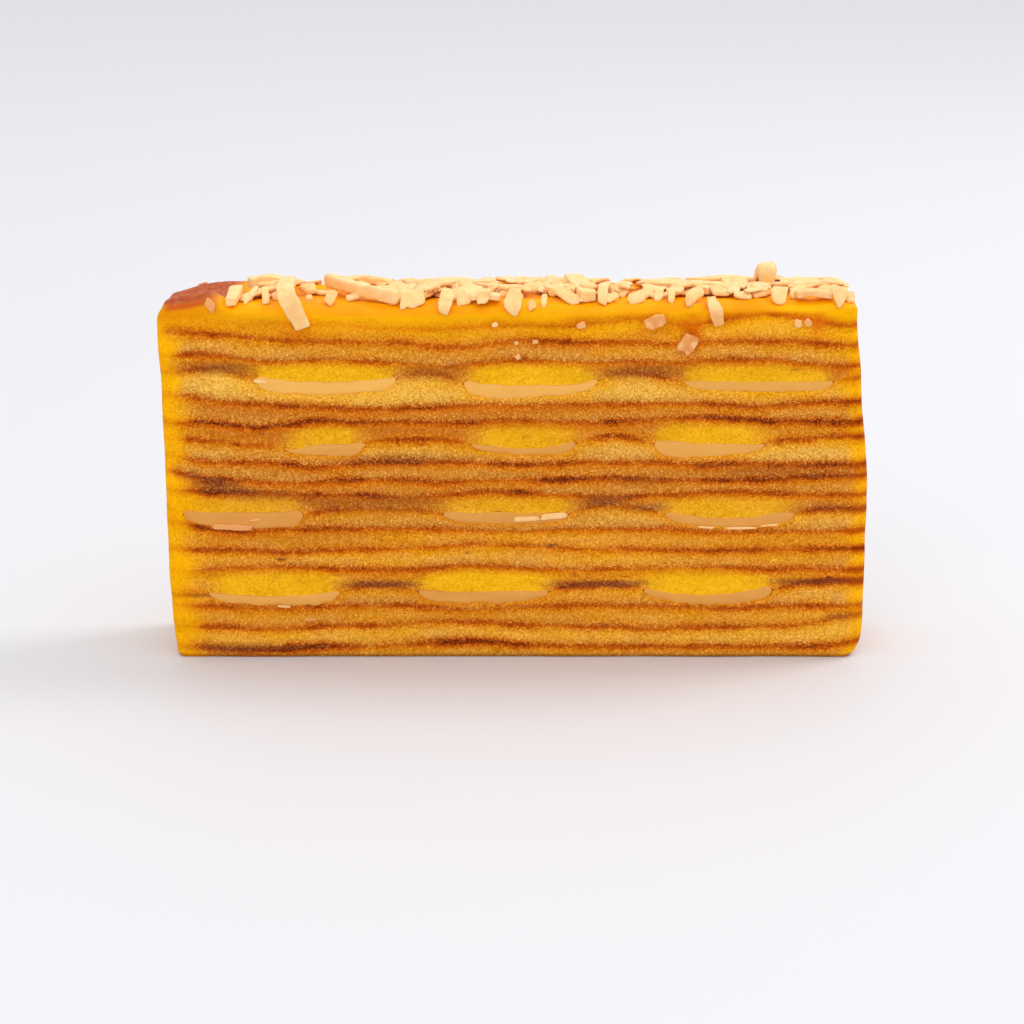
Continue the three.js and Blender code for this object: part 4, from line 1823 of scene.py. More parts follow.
    @staticmethod
    def flat_uv(points: Array, faces: Array, low: float, high: float) -> Array:
        """Lays faces flat in a band of the sheet for baked textures.

        Args:
            points: All points.
            faces: The faces' places.
            low: The band's lower edge.
            high: Its upper edge.

        Returns:
            Each face's corners' places.
        """
        x, y = points[faces][..., 0], points[faces][..., 1]
        u = (x + 50.5) / 101.0
        v = blend(low, high, np.clip((y - LOAF.front + 1) / (LOAF.thick + 2), 0, 1))
        return np.stack([u, v], axis=-1)

    def wall_faces(self, rows: int) -> tuple[Array, Array]:
        """Joins the wall's points, row by row, all the way round.

        Args:
            rows: Rows of faces.

        Returns:
            The points' places, and the faces.
        """
        count = 2 * (self.columns + self.depths)
        index = np.arange((rows + 1) * count).reshape(rows + 1, count)
        turned = np.roll(index, -1, axis=1)
        sides = np.stack([index[:-1], turned[:-1], turned[1:], index[1:]], axis=-1)
        return index, sides.reshape(-1, 4)

    def skin(self) -> Skin:
        """Builds the whole closed skin.

        Returns:
            The skin with its marks.
        """
        rows = self.rows()
        wall, marks = self.wall(rows)
        index, sides = self.wall_faces(rows)
        foot_points, foot_faces, foot_rim = self.cap(upper=False)
        head_points, head_faces, head_rim = self.cap(upper=True)
        foot_at = len(wall)
        head_at = foot_at + len(foot_points)
        points = np.concatenate([wall, foot_points, head_points])
        foot_fan = self.stitch(index[0], foot_rim + foot_at)[:, ::-1]
        head_fan = self.stitch(index[-1], head_rim + head_at)
        foot_faces = foot_faces[:, ::-1] + foot_at
        head_faces = head_faces + head_at
        quads = np.concatenate([sides, foot_faces, head_faces])
        triangles = np.concatenate([foot_fan, head_fan])
        hidden = OVEN.marks(self.number, points[foot_at:])
        both = {name: np.concatenate([marks[name], hidden[name]]) for name in marks}
        quad_uv = np.concatenate([self.wall_uv(rows, self.WALL_SHARE),
                                  self.flat_uv(points, foot_faces, *self.FOOT_BAND),
                                  self.flat_uv(points, head_faces, *self.HEAD_BAND)])
        triangle_uv = np.concatenate([self.flat_uv(points, foot_fan, *self.FOOT_BAND),
                                      self.flat_uv(points, head_fan, *self.HEAD_BAND)])
        return Skin(points, quads, triangles, both, quad_uv, triangle_uv)


@dataclass
class BrownedTop(SpongeLayer):
    """The last layer, whose browned upper side shows."""

    slot: ClassVar[str] = "browned_top"
    LUMPS: ClassVar[Waves] = ((DRIFT, 0.16, (5.0, 5.0, 9.0)), (SWELL, 0.07, (1.6, 1.6, 9.0)),
                              (GRIT, 0.04, (0.7, 0.7, 9.0)))
    PATCHES: ClassVar[Waves] = ((DRIFT, 1.0, (8.0, 6.0, 9.0)), (SWELL, 0.5, (2.2, 2.2, 9.0)))
    FRAY: ClassVar[Waves] = ((SWELL, 1.2, (2.0, 2.0, 9.0)),)
    TEAR: ClassVar[Waves] = ((DRIFT, 4.0, (5.0, 5.0, 9.0)),)
    SLANT: ClassVar[float] = 0.25
    CORNER: ClassVar[Span] = (9.5, 5.5)
    INNER: ClassVar[Span] = (3.0, 7.0)
    LIP_REACH: ClassVar[Span] = (8.2, 6.4)
    LIP_STRENGTH: ClassVar[float] = 0.9
    LEVEL_EDGE: ClassVar[int] = 24
    WALL_SHARE: ClassVar[float] = 0.56
    HEAD_BAND: ClassVar[Span] = (0.58, 0.93)
    FOOT_BAND: ClassVar[Span] = (0.94, 0.99)

    wall_bands: int = 6
    rim_rounding: int = 5
    rim_rows: int = 4

    def crust_points(self) -> Array:
        """Places the browned top's inner points.

        Returns:
            The points, which lie level with the wall at the edge.
        """
        a, b = self.columns, self.depths
        i, j = grid_places(range(1, a), range(1, b))
        points = self.level(i / a, j / b, upper=True)
        ratio = self.coarse
        edge = np.minimum.reduce([i, a - i, ratio * j, ratio * (b - j)]) / self.LEVEL_EDGE
        points[:, 2] += uneven(points, self.LUMPS) * np.clip(edge, 0, 1)
        return points

    def crust_marks(self, points: Array, marks: dict[str, Array]) -> None:
        """Adds the marks that only the browned top has.

        Args:
            points: All points of the skin.
            marks: The marks so far.
        """
        x, y, z = points.T
        edge_height = LOAF.crust.at(x, y)
        across = np.minimum(y - LOAF.front, LOAF.back - y)
        from_left = x - LOAF.left(z)
        patches = uneven(points, self.PATCHES)
        frayed = from_left + uneven(points, self.FRAY)
        torn = frayed + uneven(points, self.TEAR) - self.SLANT * (y - LOAF.front)
        corner = ease(torn, *self.CORNER)
        up = ease(z, edge_height - 0.6 - 0.5 * corner, edge_height - 0.05)
        inner = ease(across, *self.INNER)
        marks["crust"] = up
        marks["browned"] = np.clip(corner + 0.45 * inner * ease(patches, 0.1, 0.7), 0, 1)
        marks["caramel"] = np.clip(0.2 + 0.6 * inner + 0.5 * patches, 0, 0.9) * up
        lip = ease(z, edge_height - 1.5, edge_height - 0.8) * (1 - ease(across, 0.0, 0.6))
        lip *= ease(z, edge_height - 0.1, edge_height - 0.55) * ease(frayed, *self.LIP_REACH)
        marks["lip"] = self.LIP_STRENGTH * lip

    def skin(self) -> Skin:
        """Builds the layer with its browned top in full.

        Returns:
            The skin with its marks.
        """
        rows = self.rows()
        wall, marks = self.wall(rows)
        index, sides = self.wall_faces(rows)
        inner = self.crust_points()
        foot_points, foot_faces, foot_rim = self.cap(upper=False)
        foot_at = len(wall) + len(inner)
        points = np.concatenate([wall, inner, foot_points])
        grid = np.zeros((self.columns + 1, self.depths + 1), int)
        i, j = self.outline()
        grid[i, j] = index[-1]
        grid[1:-1, 1:-1] = len(wall) + np.arange(len(inner)).reshape(grid[1:-1, 1:-1].shape)
        top = squares(grid)
        self.round_rim(points, grid, index)
        foot_fan = self.stitch(index[0], foot_rim + foot_at)[:, ::-1]
        foot_faces = foot_faces[:, ::-1] + foot_at
        quads = np.concatenate([sides, top, foot_faces])
        rest = OVEN.marks(self.number, points[len(wall):])
        marks = {name: np.concatenate([marks[name], rest[name]]) for name in marks}
        self.crust_marks(points, marks)
        quad_uv = np.concatenate([self.wall_uv(rows, self.WALL_SHARE),
                                  self.flat_uv(points, top, *self.HEAD_BAND),
                                  self.flat_uv(points, foot_faces, *self.FOOT_BAND)])
        triangle_uv = self.flat_uv(points, foot_fan, *self.FOOT_BAND)
        return Skin(points, quads, foot_fan, marks, quad_uv, triangle_uv)

    def round_rim(self, points: Array, grid: Array, index: Array) -> None:
        """Softens the edge where the wall meets the browned top.

        Args:
            points: All points, moved in place.
            grid: Places of the browned top's points.
            index: Places of the wall's points, row by row.
        """
        i, j = self.outline()
        inward_i = np.clip(i, 1, self.columns - 1)
        inward_j = np.clip(j, 1, self.depths - 1)
        lines = [index[-1 - step] for step in range(self.rim_rows, -1, -1)]
        middle_i, middle_j = self.columns / 2, self.depths / 2
        di = np.where((i == 0) | (i == self.columns), np.sign(middle_i - i), 0).astype(int)
        dj = np.where((j == 0) | (j == self.depths), np.sign(middle_j - j), 0).astype(int)
        for step in range(self.rim_rows):
            lines.append(grid[np.clip(inward_i + di * step, 0, self.columns),
                              np.clip(inward_j + dj * step, 0, self.depths)])
        for _ in range(self.rim_rounding):
            for before, here, after in zip(lines[:-2], lines[1:-1], lines[2:]):
                points[here] = 0.5 * points[here] + 0.25 * (points[before] + points[after])


# ---- The baked-in cheese ------------------------------------------------------------------------


class Place(Enum):
    """Where a strip lies in its row."""

    LEFT = "left"
    MIDDLE = "middle"
    RIGHT = "right"


@dataclass
class CheeseStrip(Piece):
    """One strip of cheese that runs through the cake from cut face to cut face."""

    slot: ClassVar[str] = "baked_cheese"
    KNIFE: ClassVar[Waves] = ((SWELL, 0.05, (6.0, 6.0, 0.7)), (GRIT, 0.03, (2.0, 2.0, 0.5)))
    LEVELS: ClassVar[int] = 8
    DEPTHS: ClassVar[int] = 30
    ROOM: ClassVar[Span] = (0.8, 0.4)

    row: int
    place: Place
    on_layer: int
    pale: float
    cell: float = 0.26
    proud: float = 0.03
    least: float = 0.05
    reach: float = 1.9

    def node(self) -> str:
        """The strip's CAD node."""
        return f"strip_row_{self.row}_{self.place.value}"

    def shape(self) -> Thing:
        """Makes the bare strip."""
        return self.skin().to_object("cheese_" + self.node())

    def skin(self) -> Skin:
        """Builds the lens-shaped rod as a closed skin.

        Returns:
            The skin.
        """
        low, high = (np.array(corner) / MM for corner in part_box(self.node()))
        drift = self.drift(low, high)
        level = (low[2:] + high[2:]) / 2
        low[0] = max(low[0] - self.reach, float(LOAF.left(level)[0]) + self.ROOM[0])
        high[0] = min(high[0] + self.reach, float(LOAF.right(level)[0]) - self.ROOM[1])
        across = max(24, round((high[0] - low[0]) / self.cell))
        levels, depths = self.LEVELS, self.DEPTHS
        grid = np.meshgrid(np.arange(across + 1), np.arange(depths + 1), np.arange(levels + 1),
                           indexing="ij")
        on_skin = ((grid[0] == 0) | (grid[0] == across) | (grid[1] == 0) | (grid[1] == depths)
                   | (grid[2] == 0) | (grid[2] == levels))
        index = np.full(on_skin.shape, -1)
        index[on_skin] = np.arange(on_skin.sum())
        u = grid[0][on_skin] / across
        v = grid[1][on_skin] / depths
        w = grid[2][on_skin] / levels * 2 - 1
        y = blend(LOAF.front - self.proud, LOAF.back + self.proud, v)
        width = (high[0] - low[0]) - abs(drift)
        left = low[0] + (max(0.0, drift) * v if drift > 0 else -drift * (1 - v))
        x = left + u * width
        k = self.on_layer
        middle = LOAF.middle[k].at(x, y)
        roof = LOAF.roof_of(k, x, y) - LOAF.BITE
        half = np.maximum(np.minimum(middle - roof, LOAF.depth(k, x, y)), self.least)
        over = np.maximum(LOAF.rise(k, x, y), self.least)
        z = middle + blend(-half, over, (w + 1) / 2)
        points = np.stack([x, y, z], axis=1)
        face = (grid[1][on_skin] == 0) | (grid[1][on_skin] == depths)
        sign = np.where(v > 0.5, 1.0, -1.0)
        rounding = -0.14 * np.abs(w) ** 4 * (half > 2 * self.least)
        rounding = rounding - 0.5 * ease(half + over, 0.34, 0.16)
        points[:, 1] += np.where(face, sign * (uneven(points, self.KNIFE) + rounding), 0.0)
        quads = [self.side(index[:, :, 0], True), self.side(index[:, :, -1], False),
                 self.side(index[:, 0, :], False), self.side(index[:, -1, :], True),
                 self.side(index[0, :, :], True), self.side(index[-1, :, :], False)]
        marks = {"pale": np.full(len(points), self.pale)}
        return Skin(points, np.concatenate(quads), marks=marks)

    def drift(self, low: Array, high: Array) -> float:
        """Finds how far the strip moves along the slice from the front face to the back one.

        Args:
            low: The lowest corner of the strip's box.
            high: Its highest corner.

        Returns:
            The move in mm.
        """
        solid = CadSolid(self.node())
        z = (low[2] + high[2]) / 2
        front = solid.end(LOAF.front + 0.2, z, False)
        back = solid.end(LOAF.back - 0.2, z, False)
        return 0.0 if math.isnan(front + back) else float(back - front)

    @staticmethod
    def side(index: Array, turn: bool) -> Array:
        """One side's faces, given its points' places in a grid and whether it is turned over."""
        faces = squares(index)
        return faces[:, ::-1] if turn else faces


# ---- The grated cheese --------------------------------------------------------------------------


@dataclass
class GratedShred(Piece):
    """One of the larger shreds, softened from its CAD solid."""

    slot: ClassVar[str] = "grated_cheese"

    name: str
    voxel: float = 0.13
    passes: int = 2
    toasted: float = 0.08
    widen: float = 1.0
    slant: float = 0.0
    tall: float = 1.0
    lift: float = 0.0
    shift: float = 0.0
    turn: float = 0.0
    lumps: float = 0.05

    def node(self) -> str:
        """The shred's CAD node."""
        return self.name

    def shape(self) -> Thing:
        """Dices the CAD solid finely and softens it.

        Returns:
            The bare shred.
        """
        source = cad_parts[self.name]
        rough = link(bpy.data.objects.new("rough_" + self.name, source.data.copy()))
        remesh = rough.modifiers.new("dice", "REMESH")
        remesh.mode = "VOXEL"
        remesh.voxel_size = self.voxel * MM
        soften = rough.modifiers.new("soften", "SMOOTH")
        soften.iterations = self.passes
        soften.factor = 0.5
        graph = bpy.context.evaluated_depsgraph_get()
        mesh = bpy.data.meshes.new_from_object(rough.evaluated_get(graph))
        bpy.data.objects.remove(rough)
        self.roughen(mesh)
        return link(bpy.data.objects.new("grated_" + self.name, mesh))

    def roughen(self, mesh: Mesh) -> None:
        """Gives the shred torn, wavy sides and its toasted mark.

        Args:
            mesh: The mesh, changed in place.
        """
        count = len(mesh.vertices)
        points = np.zeros(count * 3, np.float32)
        normals = np.zeros(count * 3, np.float32)
        mesh.vertices.foreach_get("co", points)
        mesh.vertices.foreach_get("normal", normals)
        points = points.reshape(-1, 3) / MM
        normals = normals.reshape(-1, 3)
        torn = uneven(points, ((GRIT, 0.09, 1.3), (SWELL, self.lumps, 0.6)))
        points = points + normals * torn[:, None]
        centre = (points.min(axis=0) + points.max(axis=0)) / 2
        angle = math.radians(self.turn)
        far = points - centre
        x, y = far[:, 0].copy(), far[:, 1].copy()
        far[:, 0] = x * math.cos(angle) - y * math.sin(angle)
        far[:, 1] = x * math.sin(angle) + y * math.cos(angle)
        points = centre + far
        points[:, 0] += (self.widen - 1) * far[:, 0] - self.slant * far[:, 2] + self.shift
        points[:, 2] += (self.tall - 1) * far[:, 2] + self.lift
        mesh.vertices.foreach_set("co", (points * MM).astype(np.float32).ravel())
        mesh.polygons.foreach_set("use_smooth", np.ones(len(mesh.polygons), bool))
        cloudy = self.toasted * (1 + 0.8 * SWELL.at(points, 0.9))
        add_mark(mesh, "toasted", np.clip(cloudy, 0.0, 1.0))
        mesh.update()


class TopEdge:
    """The browned top and the front face as one surface that cheese can lie on and hang over."""

    FACE_TOP = 50.4
    STEP = 0.4
    RIM = 0.1

    def __init__(self) -> None:
        """Starts a pile map of what already lies on the browned top."""
        self.xs = np.arange(-50.0, 50.01, self.STEP)
        self.ys = np.arange(LOAF.front - 1, LOAF.back + 1.01, self.STEP)
        x, y = grid_places(self.xs, self.ys)
        crust = LOAF.crust.at(x, np.clip(y, LOAF.front + self.RIM, LOAF.back - self.RIM))
        self.pile = crust.reshape(len(self.xs), len(self.ys))

    def lay_solid(self, name: str) -> None:
        """Notes a CAD shred in the pile.

        Args:
            name: Its node.
        """
        solid = CadSolid(name)
        for i in range(*np.searchsorted(self.xs, (solid.low[0], solid.high[0]))):
            for j in range(*np.searchsorted(self.ys, (solid.low[1], solid.high[1]))):
                top = solid.height(self.xs[i], self.ys[j], True)
                if not math.isnan(top):
                    self.pile[i, j] = max(self.pile[i, j], top)

    def surface(self, x: Array, run: Array) -> tuple[Array, Array]:
        """Finds points of the surface.

        Args:
            x: Places along the slice.
            run: Distances from the front edge: back over the top if above 0, else down the face.

        Returns:
            The points and their outward directions.
        """
        back = np.maximum(run, 0.0)
        y = LOAF.front + np.minimum(back, LOAF.thick - self.RIM)
        z = LOAF.crust.at(x, np.maximum(y, LOAF.front + 0.05))
        z = blend(z, self.FACE_TOP, ease(run, -1.5, -3.0)) + np.minimum(run, 0.0)
        turn = ease(run, 0.9, -0.7) * np.pi / 2
        normal = np.stack([np.zeros(len(x)), -np.sin(turn), np.cos(turn)], axis=1)
        return np.stack([x, y, z], axis=1), normal

    def cells(self, x: Array, run: Array) -> tuple[Array, Array]:
        """Finds cells of the pile map.

        Args:
            x: Places along the slice.
            run: Distances from the front edge.

        Returns:
            The cells' numbers along and across.
        """
        i = ((x - self.xs[0]) / self.STEP).round().astype(int)
        j = ((LOAF.front + run - self.ys[0]) / self.STEP).round().astype(int)
        return np.clip(i, 0, len(self.xs) - 1), np.clip(j, 0, len(self.ys) - 1)

    def heaped(self, x: Array, run: Array) -> Array:
        """Measures how high the pile stands over the crust.

        Args:
            x: Places along the slice.
            run: Distances from the front edge.

        Returns:
            Heights in mm, 0 over the front face.
        """
        y = np.clip(LOAF.front + run, LOAF.front + self.RIM, LOAF.back - self.RIM)
        over = self.pile[self.cells(x, run)] - LOAF.crust.at(x, y)
        return np.where(run > 0, np.maximum(over, 0.0), 0.0)

    def add(self, x: Array, run: Array, top: Array) -> None:
        """Notes a laid shred in the pile, given the heights of its upper side."""
        np.maximum.at(self.pile, self.cells(x, run), top)


@dataclass(frozen=True)
class Flake:
    """A small shred or flake of cheese, by where its middle lies and which way it runs."""

    x: float
    run: float
    length: float
    width: float
    thick: float
    heading: float
    bend: float = 0.0
    lift: float = 0.0
    toasted: float = 0.1
    tilt: float = 0.66


FRONT_FLAKES = (
    Flake(-42.0, -0.8, 1.9, 1.5, 0.3, 70, toasted=0.75, tilt=0.0),
    Flake(-44.8, 15.0, 1.6, 1.1, 0.3, 10, toasted=0.7, tilt=0.0),
    Flake(-36.6, 3.6, 3.2, 1.1, 0.44, 65),
    Flake(-34.6, 2.7, 2.6, 1.2, 0.44, 100),
    Flake(-32.8, 4.0, 2.4, 1.3, 0.44, 20),
    Flake(-29.3, 7.6, 2.6, 1.8, 0.59, 5, lift=0.4),
    Flake(-28.7, 3.6, 1.1, 0.8, 0.37, 10),
    Flake(-25.6, 2.6, 2.4, 1.7, 0.3, 55, toasted=0.3),
    Flake(-22.5, 4.4, 2.6, 0.9, 0.37, 12),
    Flake(-15.4, 8.2, 4.0, 1.5, 0.52, 4),
    Flake(-14.2, 1.9, 3.8, 2.2, 0.37, 10),
    Flake(-17.2, 3.2, 1.6, 1.3, 0.37, 70),
    Flake(-9.6, 1.1, 3.1, 2.1, 0.37, 78),
    Flake(-8.3, 3.0, 2.8, 1.9, 0.44, 15, lift=0.2),
    Flake(-7.3, 1.8, 2.0, 1.2, 0.37, 8),
    Flake(-4.6, 1.5, 2.4, 2.1, 0.37, 75),
    Flake(-3.0, -1.7, 0.9, 0.8, 0.5, 30),
    Flake(-0.5, 0.9, 2.7, 2.4, 0.37, 62, toasted=0.2),
    Flake(-0.9, 5.9, 3.4, 1.7, 0.52, 20),
    Flake(2.9, 8.2, 4.8, 1.6, 0.52, 3),
    Flake(2.1, 0.8, 1.1, 1.1, 0.26, 20, toasted=0.4),
    Flake(3.8, 1.4, 1.6, 0.9, 0.37, 85),
    Flake(6.0, 2.9, 6.6, 1.3, 0.44, -35, bend=0.4),
    Flake(5.6, 5.8, 2.4, 1.4, 0.44, 20, lift=0.3),
    Flake(8.8, -1.8, 1.3, 1.1, 0.6, 20, toasted=0.6),
    Flake(12.0, 3.6, 5.6, 1.6, 0.52, 80, bend=-0.3),
    Flake(13.0, 2.3, 2.2, 1.1, 0.37, 20),
    Flake(14.7, 6.0, 3.8, 2.2, 0.52, 60),
    Flake(16.6, 2.2, 2.6, 1.4, 0.44, 10),
    Flake(18.1, 4.2, 2.4, 1.6, 0.44, 35, lift=0.3),
    Flake(19.6, 2.7, 1.8, 1.2, 0.44, 70),
    Flake(21.3, 2.3, 2.0, 1.1, 0.44, 82, lift=0.2),
    Flake(21.9, 3.4, 2.8, 1.5, 0.44, 20),
    Flake(23.6, 0.9, 1.0, 1.0, 0.44, 10, toasted=0.4),
    Flake(24.6, 2.2, 3.0, 1.7, 0.52, 30),
    Flake(28.2, 4.0, 3.4, 1.7, 0.52, -10, lift=0.3),
    Flake(31.2, 2.6, 3.0, 1.2, 0.37, -6),
    Flake(33.6, 3.6, 2.6, 1.4, 0.44, 8),
    Flake(36.2, 2.2, 3.0, 2.6, 0.52, 78),
    Flake(36.4, 9.2, 4.8, 2.2, 0.5, 4, tilt=0.5),
    Flake(38.8, 3.6, 3.0, 1.7, 0.52, 15),
    Flake(43.2, 4.0, 3.6, 1.5, 0.52, -5),
    Flake(44.1, 1.6, 3.0, 2.2, 0.26, 60, toasted=0.35),
    Flake(46.2, 2.3, 2.4, 1.5, 0.26, 20, toasted=0.35),
    Flake(38.6, -1.8, 1.1, 1.1, 0.7, 0, toasted=0.3),
    Flake(39.9, -1.7, 1.1, 1.2, 0.7, 50, toasted=0.7),
    Flake(0.0, -4.6, 0.7, 0.6, 0.4, 20, toasted=0.5),
    Flake(2.6, -4.4, 0.9, 0.6, 0.4, 0, toasted=0.6),
    Flake(0.2, -6.5, 0.9, 0.8, 0.5, 40, toasted=0.5),
    Flake(5.2, -29.35, 4.4, 1.15, 0.3, 4, toasted=0.1),
    Flake(1.6, -29.75, 4.2, 0.7, 0.3, 3, toasted=0.15),
    Flake(26.6, -31.0, 2.8, 0.34, 0.25, -4, toasted=0.2),
    Flake(31.6, -31.1, 4.4, 0.42, 0.3, 1, toasted=0.05),
    Flake(35.4, -30.7, 2.8, 0.34, 0.25, 6, toasted=0.15),
    Flake(-39.4, -31.05, 6.2, 0.95, 0.25, -3, toasted=0.8),
    Flake(-35.4, -10.0, 2.4, 0.5, 0.2, -7, toasted=0.1),
    Flake(-33.0, -42.7, 2.4, 0.4, 0.2, -4, toasted=0.4),
    Flake(-29.2, -44.7, 1.6, 0.35, 0.15, 0, toasted=0.8),
    Flake(-36.6, -29.9, 1.8, 0.5, 0.2, 8, toasted=0.6),
)


@dataclass
class SmallShreds(Piece):
    """The finer cheese: flakes set along the front edge, and seeded ones all over the top."""

    slot: ClassVar[str] = "grated_cheese"
    SPREAD: ClassVar[Span] = (2.2, 1.3)
    LONG_SHARE: ClassVar[float] = 0.3
    LONG: ClassVar[tuple[Span, Span]] = ((4.5, 8.5), (1.5, 2.3))
    SHORT: ClassVar[tuple[Span, Span]] = ((2.0, 4.5), (1.5, 3.2))
    SUNK: ClassVar[float] = 0.08
    DROOP: ClassVar[float] = 0.45
    MOST_DROOP: ClassVar[float] = 0.5
    FRONT_RUN: ClassVar[float] = 9.0
    PRESSED: ClassVar[float] = 0.8
    END_ROOM: ClassVar[float] = 0.4
    REAR_ROOM: ClassVar[float] = 0.3
    TEARS: ClassVar[Waves] = ((SWELL, 0.12, 1.1), (GRIT, 0.14, 0.45))
    ROUGH: ClassVar[Waves] = ((GRIT, 0.05, 0.6), (SWELL, 0.04, 1.3))

    edge: TopEdge
    clumps: int = 50
    ceiling: Span = (52.7, 51.9)
    seed: int = 5
    sectors: int = 28
    rings: tuple[Span, ...] = (
        (0.45, 1.0), (0.84, 0.98), (0.96, 0.84), (1.0, 0.55), (1.0, 0.2), (0.93, 0.0), (0.5, 0.0))

    def sprinkle(self) -> list[Flake]:
        """Draws the seeded flakes of the top.

        Returns:
            The flakes.
        """
        rng = np.random.default_rng(self.seed)
        flakes = []
        for _ in range(self.clumps):
            middle = rng.uniform((-40.0, 4.2), (44.5, LOAF.thick - 0.5))
            for _ in range(rng.integers(2, 5)):
                x, run = middle + rng.normal(0.0, self.SPREAD)
                run = float(np.clip(run, 3.6, LOAF.thick - 1.5))
                lengths, widths = self.LONG if rng.random() < self.LONG_SHARE else self.SHORT
                flakes.append(Flake(
                    x=min(max(x, -36.0 if run < self.FRONT_RUN else -39.0), 45.0), run=run,
                    length=rng.uniform(*lengths), width=rng.uniform(*widths),
                    thick=rng.uniform(0.3, 0.5), heading=rng.uniform(-90, 90),
                    bend=rng.uniform(-0.5, 0.5), lift=rng.uniform(0.0, 0.5),
                    toasted=rng.uniform(0.0, 0.2), tilt=rng.uniform(0.0, 0.45 if run < 6 else 0.1)))
        return flakes

    def outline(self, flake: Flake, number: int) -> tuple[Array, Array]:
        """Draws a flake's torn outline as seen from above.

        Args:
            flake: The flake.
            number: Its number, which seeds the outline.

        Returns:
            The outline's points along and across the flake.
        """
        rng = np.random.default_rng(number + 1)
        corners = 4 if flake.length > 2.2 * flake.width else int(rng.integers(4, 7))
        jitter = rng.uniform(-0.26, 0.26, corners)
        turn = (np.arange(corners) + 0.5 + jitter) / corners * 2 * np.pi
        square = 2.0 / rng.uniform(3.5, 7.0)
        ends = np.stack([np.sign(np.cos(turn)) * np.abs(np.cos(turn)) ** square * flake.length,
                         np.sign(np.sin(turn)) * np.abs(np.sin(turn)) ** square * flake.width],
                        axis=1) / 2
        ends *= rng.uniform(0.86, 1.12, (corners, 1))
        place = np.arange(self.sectors) / self.sectors * corners
        first = place.astype(int)
        line = blend(ends[first], ends[(first + 1) % corners], (place - first)[:, None])
        for _ in range(2):
            line = 0.5 * line + 0.25 * (np.roll(line, 1, axis=0) + np.roll(line, -1, axis=0))
        along, across = line.T
        torn = 1 + uneven(at_height(along, across, 7.7 * number), self.TEARS)
        return along * (0.5 + 0.5 * torn), across * torn

    def chip(self, flake: Flake, number: int) -> tuple[Array, Array, Array]:
        """Builds one flake over the surface.

        Args:
            flake: The flake.
            number: Its number, which seeds its ragged outline.

        Returns:
            Its points, its square faces and its triangles.
        """
        along, across = self.outline(flake, number)
        shrink = np.array([ring for ring, _ in self.rings])[:, None]
        raised = np.array([height for _, height in self.rings])[:, None]
        s = np.concatenate([[0.0], (shrink * along).ravel(), [0.0]])
        t = np.concatenate([[0.0], (shrink * across).ravel(), [0.0]])
        h = np.concatenate([[1.0], np.repeat(raised, self.sectors), [0.0]])
        t = t + flake.bend * s * s / max(flake.length, 2.0)
        turn = math.radians(flake.heading)
        x = flake.x + s * math.cos(turn) - t * math.sin(turn)
        run = flake.run + s * math.sin(turn) + t * math.cos(turn)
        run = np.minimum(run, LOAF.thick - self.REAR_ROOM)
        x = np.clip(x, LOAF.left(50.0) + self.END_ROOM, LOAF.right(50.0) - self.END_ROOM)
        under = self.edge.heaped(x, run)
        level = np.percentile(under, 60)
        rest = blend(level, np.minimum(under, level + self.MOST_DROOP), self.DROOP)
        lean = flake.lift * (s / flake.length + 0.5)
        facing = np.where(flake.run < self.FRONT_RUN, run - run.min(), run.max() - run)
        lean = lean + flake.tilt * facing * ease(flake.run, 0.0, 1.2)
        ground, normal = self.edge.surface(x, run)
        stand = rest + lean + flake.thick * (h - self.SUNK)
        points = ground + normal * stand[:, None]
        points += normal * uneven(points, self.ROUGH)[:, None]
        ceiling = blend(*self.ceiling, run / LOAF.thick)
        ceiling = ceiling + 0.35 * SWELL.at(points * (1.0, 1.0, 0.0), 5.0)
        points[:, 2] -= self.PRESSED * np.maximum(points[:, 2] - flake.thick * h - ceiling, 0.0)
        laid = h > 0.5
        self.edge.add(x[laid], run[laid], points[laid, 2] - 0.7 * flake.tilt * facing[laid])
        index = 1 + np.arange(len(self.rings) * self.sectors).reshape(len(self.rings), -1)
        turned = np.roll(index, -1, axis=1)
        quads = np.stack([index[:-1], index[1:], turned[1:], turned[:-1]], axis=-1).reshape(-1, 4)
        first, last = np.zeros(self.sectors, int), np.full(self.sectors, len(s) - 1)
        triangles = np.concatenate([np.stack([first, index[0], turned[0]], axis=-1),
                                    np.stack([last, turned[-1], index[-1]], axis=-1)])
        return points, quads, triangles

    def shape(self) -> Thing:
        """Makes all small shreds as one piece.

        Returns:
            The bare piece.
        """
        points, quads, triangles, toasted = [], [], [], []
        placed = 0
        for number, flake in enumerate([*FRONT_FLAKES, *self.sprinkle()]):
            some, four, three = self.chip(flake, number)
            points.append(some)
            quads.append(four + placed)
            triangles.append(three + placed)
            toasted.append(np.full(len(some), flake.toasted))
            placed += len(some)
        skin = Skin(np.concatenate(points), np.concatenate(quads), np.concatenate(triangles),
                    {"toasted": np.concatenate(toasted)}, crisp=False)
        return skin.to_object("small_shreds")


# ---- Studio -------------------------------------------------------------------------------------


@dataclass(frozen=True)
class Softbox:
    """A soft studio light, in metres from the slice's middle."""

    name: str
    place: Triple
    size: float
    watts: float
    colour: Triple = (1.0, 1.0, 1.0)

    def build(self, aim: Vector) -> None:
        """Hangs the light.

        Args:
            aim: What it points at.
        """
        lamp = bpy.data.lights.new(self.name, "AREA")
        lamp.shape = "SQUARE"
        lamp.size = self.size
        lamp.energy = self.watts
        lamp.color = self.colour
        holder = link(bpy.data.objects.new(self.name, lamp))
        holder.location = aim + Vector(self.place)
        holder.rotation_euler = (aim - holder.location).to_track_quat("-Z", "Y").to_euler()


